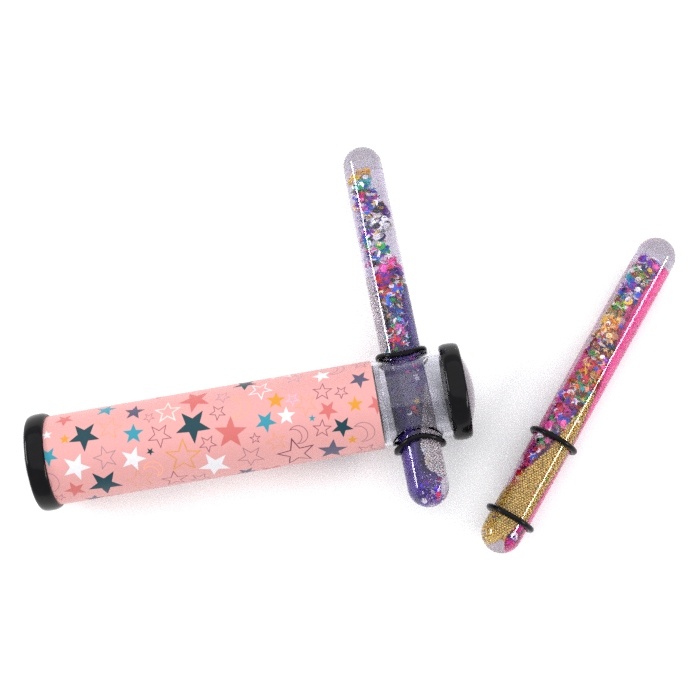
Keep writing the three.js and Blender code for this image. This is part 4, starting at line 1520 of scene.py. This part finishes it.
# ---- The spare wand: magenta and gold ---------------------------------------------
def fill_spare():
    tip, top = 0.0, SPARE_LEN - PLUG - 0.1
    r = random.Random(99)
    nr = np.random.default_rng(99)
    rad = lambda y: max(room(y, tip, 1e9, 0.05), 0.02)
    # heights below are laid out on a 148 mm wand
    down = lambda y: 0.9726 * y - 0.4
    up = lambda y: (y + 0.4) / 0.9726

    def pink_line(y):
        y = up(y)
        ang = lerp(y, [(0, math.radians(330)), (30, math.radians(318)), (52, math.radians(300)), (70, math.radians(318)), (100, math.radians(335)), (136, math.radians(345))])
        d = lerp(y, [(4, 5.6), (9, 4.4), (20, 2.8), (40, 2.8), (60, 2.6), (90, 0.8), (120, 0.2), (130, 1.2), (136, 3.4)])
        return ang, d

    s = Surf()
    bed(s, pink_line, np.linspace(6.2, 131.4, 140), rad, 23, 0.25)

    s.build("spare_pink_powder", SPARE, "spare_wand", powder_pink, ["spare_wand_glitter"], "glitter_pink", colour=False, weld=False)

    def gold(x, y, z):
        y = up(y)
        if y < 6.8 + 1.3 * math.sin(x * 1.3 + 0.4):
            return False
        ang = lerp(y, [(0, math.radians(205)), (14, math.radians(160)), (24, math.radians(80)), (34, math.radians(45)), (40, math.radians(25)), (46, math.radians(12)), (60, math.radians(4)), (88, math.radians(-6))])
        d = lerp(y, [(0, -1.0), (14, -1.6), (24, -1.2), (34, 0.0), (40, 0.6), (46, 1.0), (60, 2.2), (74, 3.6), (86, 5.4)])
        return x * math.cos(ang) + z * math.sin(ang) > d

    pts = pack_beads(gold, 3, 88, 0.98, nr, tip, top)
    pts = [p for p in pts if math.hypot(p[0], p[2]) > 3.2 or True]
    # keep only the beads that can be seen past their neighbours: the outer shell and the bed's faces
    keep = []
    for p in pts:
        k = math.hypot(p[0], p[2])
        edge = not (gold(p[0] * 0.0 + p[0] - 1.3, p[1], p[2]) and gold(p[0], p[1], p[2] - 1.3) and gold(p[0] + 1.3, p[1], p[2]) and gold(p[0], p[1], p[2] + 1.3))
        if k > FILL_R - 1.9 or edge:
            keep.append(p)
    s = Surf()
    beads(s, keep, 0.93, nr, 0.3)
    s.build("spare_gold_beads", SPARE, "spare_wand", gold_mat, ["spare_wand_beads"], "beads_gold", weld=False)

    s = Surf()
    zones = [
        (131.0, 136.4, -5.4, 2.6, -2, 5, 34, ["red", "magenta", "purple", "pink", "blue", "silver", "violet"], [1.6, 2.2, 2.6], 55),
        (124.0, 132.0, -5.8, 4.4, -2, 5.2, 60, ["silver", "green", "blue", "gold", "white", "teal", "navy", "crimson", "bronze"], [1.4, 1.8, 2.4], 55),
        (116.0, 124.5, -5.8, 3.6, -2, 5.2, 52, ["teal", "silver", "white", "purple", "blue", "green", "magenta", "navy"], [1.4, 2.0, 2.6], 55),
        (108.0, 116.5, -5.8, 0.4, -2, 5.2, 34, ["green", "bronze", "black", "gold", "silver", "pink", "lime"], [1.4, 2.0, 2.4], 50),
        (98.0, 108.0, -5.6, 1.0, -2, 5.2, 56, ["tan", "gold", "tan", "bronze", "gold", "orange", "silver"], [1.4, 1.8, 2.4], 55),
        (89.5, 98.0, -5.6, 3.2, -2, 5.2, 50, ["bronze", "green", "black", "purple", "crimson", "navy", "tan"], [1.6, 2.2, 2.6], 50),
        (82.0, 90.0, -3.2, 4.2, -2, 5.2, 34, ["red", "orange", "blue", "gold", "pink", "tan", "crimson"], [1.6, 2.2, 2.8], 50),
        (70.0, 82.5, -4.6, 4.6, -2, 5.2, 70, ["crimson", "gold", "teal", "red", "orange", "magenta", "green", "bronze"], [1.6, 2.2, 2.8], 50),
        (56.0, 70.5, -5.8, 2.4, -1, 5.2, 70, ["crimson", "magenta", "purple", "blue", "green", "pink", "red", "violet"], [1.6, 2.2, 2.8], 50),
        (40.0, 56.0, -6.0, -0.6, 0, 5.0, 44, ["magenta", "crimson", "pink", "violet", "black", "green", "blue", "purple"], [1.6, 2.2, 2.6], 50),
        (26.0, 40.0, -6.0, -3.2, 0, 4.4, 20, ["red", "violet", "magenta", "crimson", "navy"], [1.4, 2.0, 2.4], 50),
        (80.0, 120.0, 3.8, 6.6, 0, 4.2, 22, ["blue", "magenta", "violet", "silver", "green"], [1.2, 1.8, 2.2], 55),
        (6.5, 16.0, 2.4, 6.0, 0, 4.2, 16, ["crimson", "magenta", "violet", "silver", "pink"], [1.4, 1.8, 2.4], 55),
        (20.0, 66.0, 0.0, 5.8, 4.6, 5.6, 16, ["green", "lime", "crimson", "silver"], [0.9, 1.2], 50),
    ]
    hints = [
        ("moon", 3.4, 116.0, -1.6, 5.2, "gold", 0.2), ("moon", 3.2, 115.0, -2.6, 5.0, "blue", 0.2), ("star", 2.6, 111.0, -4.4, 4.2, "green", 0.2),
        ("dot", 2.3, 134.2, -1.0, 4.8, "purple", 0.3), ("dot", 2.0, 131.4, 0.2, 5.0, "gold", 0.3), ("star", 2.6, 125.6, 0.6, 5.0, "navy", 0.3),
        ("star", 2.6, 123.0, -4.6, 4.2, "teal", 0.2), ("star", 2.5, 121.4, -0.2, 5.2, "white", 0.3), ("dot", 2.4, 120.0, 1.0, 5.2, "blue", 0.2),
        ("dot", 1.8, 105.0, 1.2, 5.2, "blue", 0.3), ("dot", 2.4, 96.0, 1.2, 5.0, "navy", 0.4), ("dot", 2.2, 91.0, -5.6, 3.4, "purple", 0.3),
        ("star", 2.6, 84.6, 0.8, 5.2, "blue", 0.3), ("moon", 2.8, 85.2, -1.8, 5.0, "red", 0.3), ("star", 2.8, 79.4, -1.0, 5.2, "red", 0.3),
        ("star", 3.0, 74.8, 0.0, 5.2, "teal", 0.3), ("dot", 2.2, 69.4, -4.4, 4.2, "red", 0.3), ("moon", 3.0, 60.2, -3.6, 4.8, "blue", 0.2),
        ("moon", 3.0, 58.8, -4.0, 4.4, "green", 0.2), ("star", 3.2, 46.4, -2.4, 5.0, "crimson", 0.2), ("dot", 2.2, 48.0, -5.4, 3.6, "black", 0.2),
        ("moon", 2.8, 40.4, -3.2, 4.6, "blue", 0.2), ("star", 2.6, 35.6, -5.4, 3.4, "crimson", 0.2), ("dot", 1.7, 30.4, -5.8, 2.8, "red", 0.2),
        ("star", 2.8, 12.0, -2.8, 5.2, "lime", 0.1), ("dot", 1.9, 12.4, -5.2, 3.4, "blue", 0.2), ("dot", 1.8, 24.0, -6.0, 2.2, "violet", 0.3),
        ("dot", 2.0, 112.4, 5.2, 3.2, "navy", 0.4), ("star", 2.0, 92.6, 4.6, 3.6, "teal", 0.4), ("star", 2.2, 83.0, 4.4, 3.8, "silver", 0.3),
    ]
    zones = [(down(q[0]), down(q[1])) + q[2:] for q in zones]
    hints = [q[:2] + (down(q[2]),) + q[3:] for q in hints]
    scatter_foil(s, zones, tip, top, r, hints)
    s.build("spare_foil_shapes", SPARE, "spare_wand", foil_b, ["spare_wand_foil_shapes"], "foil_pink", weld=False)

    pk = [lin(226, 60, 150), lin(240, 120, 186), lin(190, 24, 110), lin(255, 190, 225), lin(220, 90, 190)]
    s = Surf()

    def over_pink(q):
        y = q.uniform(5.6, 131)
        ang, d = pink_line(y)
        rr = rad(y) - 0.1
        t = q.uniform(-1, 1) * math.sqrt(max(rr * rr - d * d, 0)) * 0.96
        h = d - abs(q.gauss(0, 0.8))
        x, z = h * math.cos(ang) - t * math.sin(ang), h * math.sin(ang) + t * math.cos(ang)
        if math.hypot(x, z) > rr:
            return None
        return np.array([x, y, z])

    flakes(s, 2200, over_pink, 0.34, pk, r)

    def left_cloud(q):
        y = q.uniform(23, 64)
        return spot(y, q.uniform(-7.2, -3.0), q.uniform(-2, 4), tip, top, 0.2)

    flakes(s, 1500, left_cloud, 0.36, pk, r)
    s.build("spare_fine_glitter", SPARE, "spare_wand", glit_pink, (), "glitter_pink", weld=False)

    s = Surf()
    prof = dome_profile(tip + WAND_R, BORE_R - 0.04, -90, 0, 20) + [(y, BORE_R - 0.04, 0, 1) for y in np.linspace(tip + WAND_R, top, 40)[1:]]
    profile_surface(s, prof, 96, 0)
    profile_surface(s, [(top, BORE_R - 0.04, 1, 0), (top, 0.0, 1, 0)], 96, 0)
    for y, u, z, q in ((106.2, 0.0, 4.9, 1.15), (102.1, 0.4, 5.0, 1.0), (54.6, -0.6, 4.9, 1.5), (85.2, 4.2, 4.2, 0.5), (107.4, -3.2, 4.6, 0.4)):
        bubble_s.append(("spare", spot(y, u, z, tip, top, q + 0.15), q))
    s.build("spare_liquid", SPARE, "spare_wand", liquid_pink, ["spare_wand_liquid"], "liquid_pink", colour=False)


fill_held()
fill_spare()
for who, place, body in (("held", HELD, "wand"), ("spare", SPARE, "spare_wand")):
    s = Surf()
    for w, c, q in bubble_s:
        if w == who:
            bubble(s, c, q, (1.0, 1.06, 0.92))
    s.build(who + "_bubbles", place, body, acrylic_bubble, (), "acrylic_clear", weld=False, colour=False)

# ---------------------------------------------------------------------------------
# Stage, lights, camera
# ---------------------------------------------------------------------------------
fm = Mat("table_white")
fleck = fm.noise(60, 3.0)
fm.principled(Base_Color=fm.ramp(fleck, (0.3, (0.93, 0.93, 0.93)), (0.7, (0.945, 0.945, 0.945))), Roughness=0.7)
me = bpy.data.meshes.new("table")
me.from_pydata([(-3, -3, -0.00002), (3, -3, -0.00002), (3, 3, -0.00002), (-3, 3, -0.00002)], [], [(0, 1, 2, 3)])
table = bpy.data.objects.new("table", me)
bpy.context.scene.collection.objects.link(table)
me.materials.append(fm.m)

scene = bpy.context.scene
world = bpy.data.worlds.new("studio")
scene.world = world
world.use_nodes = True
bg = world.node_tree.nodes["Background"]
bg.inputs[0].default_value = (0.96, 0.97, 1.0, 1)
bg.inputs[1].default_value = 0.74

CAM = Vector((134.344 - ORIGIN[0], -73.515 - ORIGIN[1], 600.624)) * 1e-3
cam_data = bpy.data.cameras.new("camera")
cam_data.sensor_width = 36
cam_data.lens = 36 * 1500 / 700
cam_data.clip_start = 0.01
cam_data.clip_end = 20
cam = bpy.data.objects.new("camera", cam_data)
cam.location = CAM
cam.rotation_mode = "XYZ"
cam.rotation_euler = (math.radians(9.2148), math.radians(2.1523), math.radians(-9.5773))
scene.collection.objects.link(cam)
scene.camera = cam

cam_m = cam.rotation_euler.to_matrix()
cx, cy, cz = cam_m.col[0], cam_m.col[1], cam_m.col[2]  # picture right, picture up, towards the viewer


def area(name, direction, dist, w, h, power, up=None, colour=(1, 1, 1)):
    """A soft box seen from the object in a direction given in the picture's axes."""
    d = (cx * direction[0] + cy * direction[1] + cz * direction[2]).normalized()
    l = bpy.data.lights.new(name, "AREA")
    l.shape = "RECTANGLE"
    l.size, l.size_y = w, h
    l.energy = power
    l.color = colour
    o = bpy.data.objects.new(name, l)
    o.location = Vector((0.02, 0, 0.02)) + d * dist
    z = d
    u = up if up is not None else cy
    u = (cx * u[0] + cy * u[1] + cz * u[2]) if isinstance(u, tuple) else u
    x = u.cross(z).normalized()
    y = z.cross(x).normalized()
    o.rotation_euler = Matrix((x, y, z)).transposed().to_euler()
    scene.collection.objects.link(o)
    return o


def polar(deg_from_view, towards):
    """Direction at an angle from the view axis towards a picture-plane direction."""
    a = math.radians(deg_from_view)
    t = Vector(towards).normalized()
    return (t[0] * math.sin(a), t[1] * math.sin(a), math.cos(a))


def strip(name, place, y, offset_u, dist, w, h, radiance):
    """A strip light placed so that the wand shows its streak at offset_u of its radius, centred at y."""
    axis = Vector(place.m[1])
    p0 = Vector(place.pts((0, y, 0)).tolist()) * 1e-3
    v = (CAM - p0).normalized()
    va = v - axis * v.dot(axis)
    va.normalize()
    side = axis.cross(va) * -1
    if side.dot(cx) < 0:
        side = -side
    n = side * offset_u + va * math.sqrt(1 - offset_u**2)
    p = p0 + n * WAND_R * 1e-3
    v = (CAM - p).normalized()
    d = (n * (2 * n.dot(v)) - v).normalized()
    l = bpy.data.lights.new(name, "AREA")
    l.shape = "RECTANGLE"
    l.size, l.size_y = w, h
    l.energy = radiance * PI * w * h
    o = bpy.data.objects.new(name, l)
    o.location = p + d * dist
    x = axis.cross(d).normalized()
    yy = d.cross(x).normalized()
    o.rotation_euler = Matrix((x, yy, d)).transposed().to_euler()
    scene.collection.objects.link(o)
    return o


area("top_box", polar(32, (0.1, 1, 0)), 1.8, 3.8, 3.6, 36)
strip("left_strip", HELD, 15, -0.52, 1.5, 0.26, 0.95, 19)
strip("right_strip", SPARE, 68, 0.52, 1.5, 0.26, 0.85, 19)

scene.view_settings.view_transform = "Standard"
scene.view_settings.look = "None"
scene.view_settings.exposure = 0.0
scene.cycles.max_bounces = 24
scene.cycles.transmission_bounces = 24
scene.cycles.glossy_bounces = 8
scene.cycles.transparent_max_bounces = 32
scene.cycles.diffuse_bounces = 4
scene.cycles.caustics_reflective = False
scene.cycles.caustics_refractive = True
scene.cycles.use_denoising = False
scene.cycles.sample_clamp_indirect = 4.0
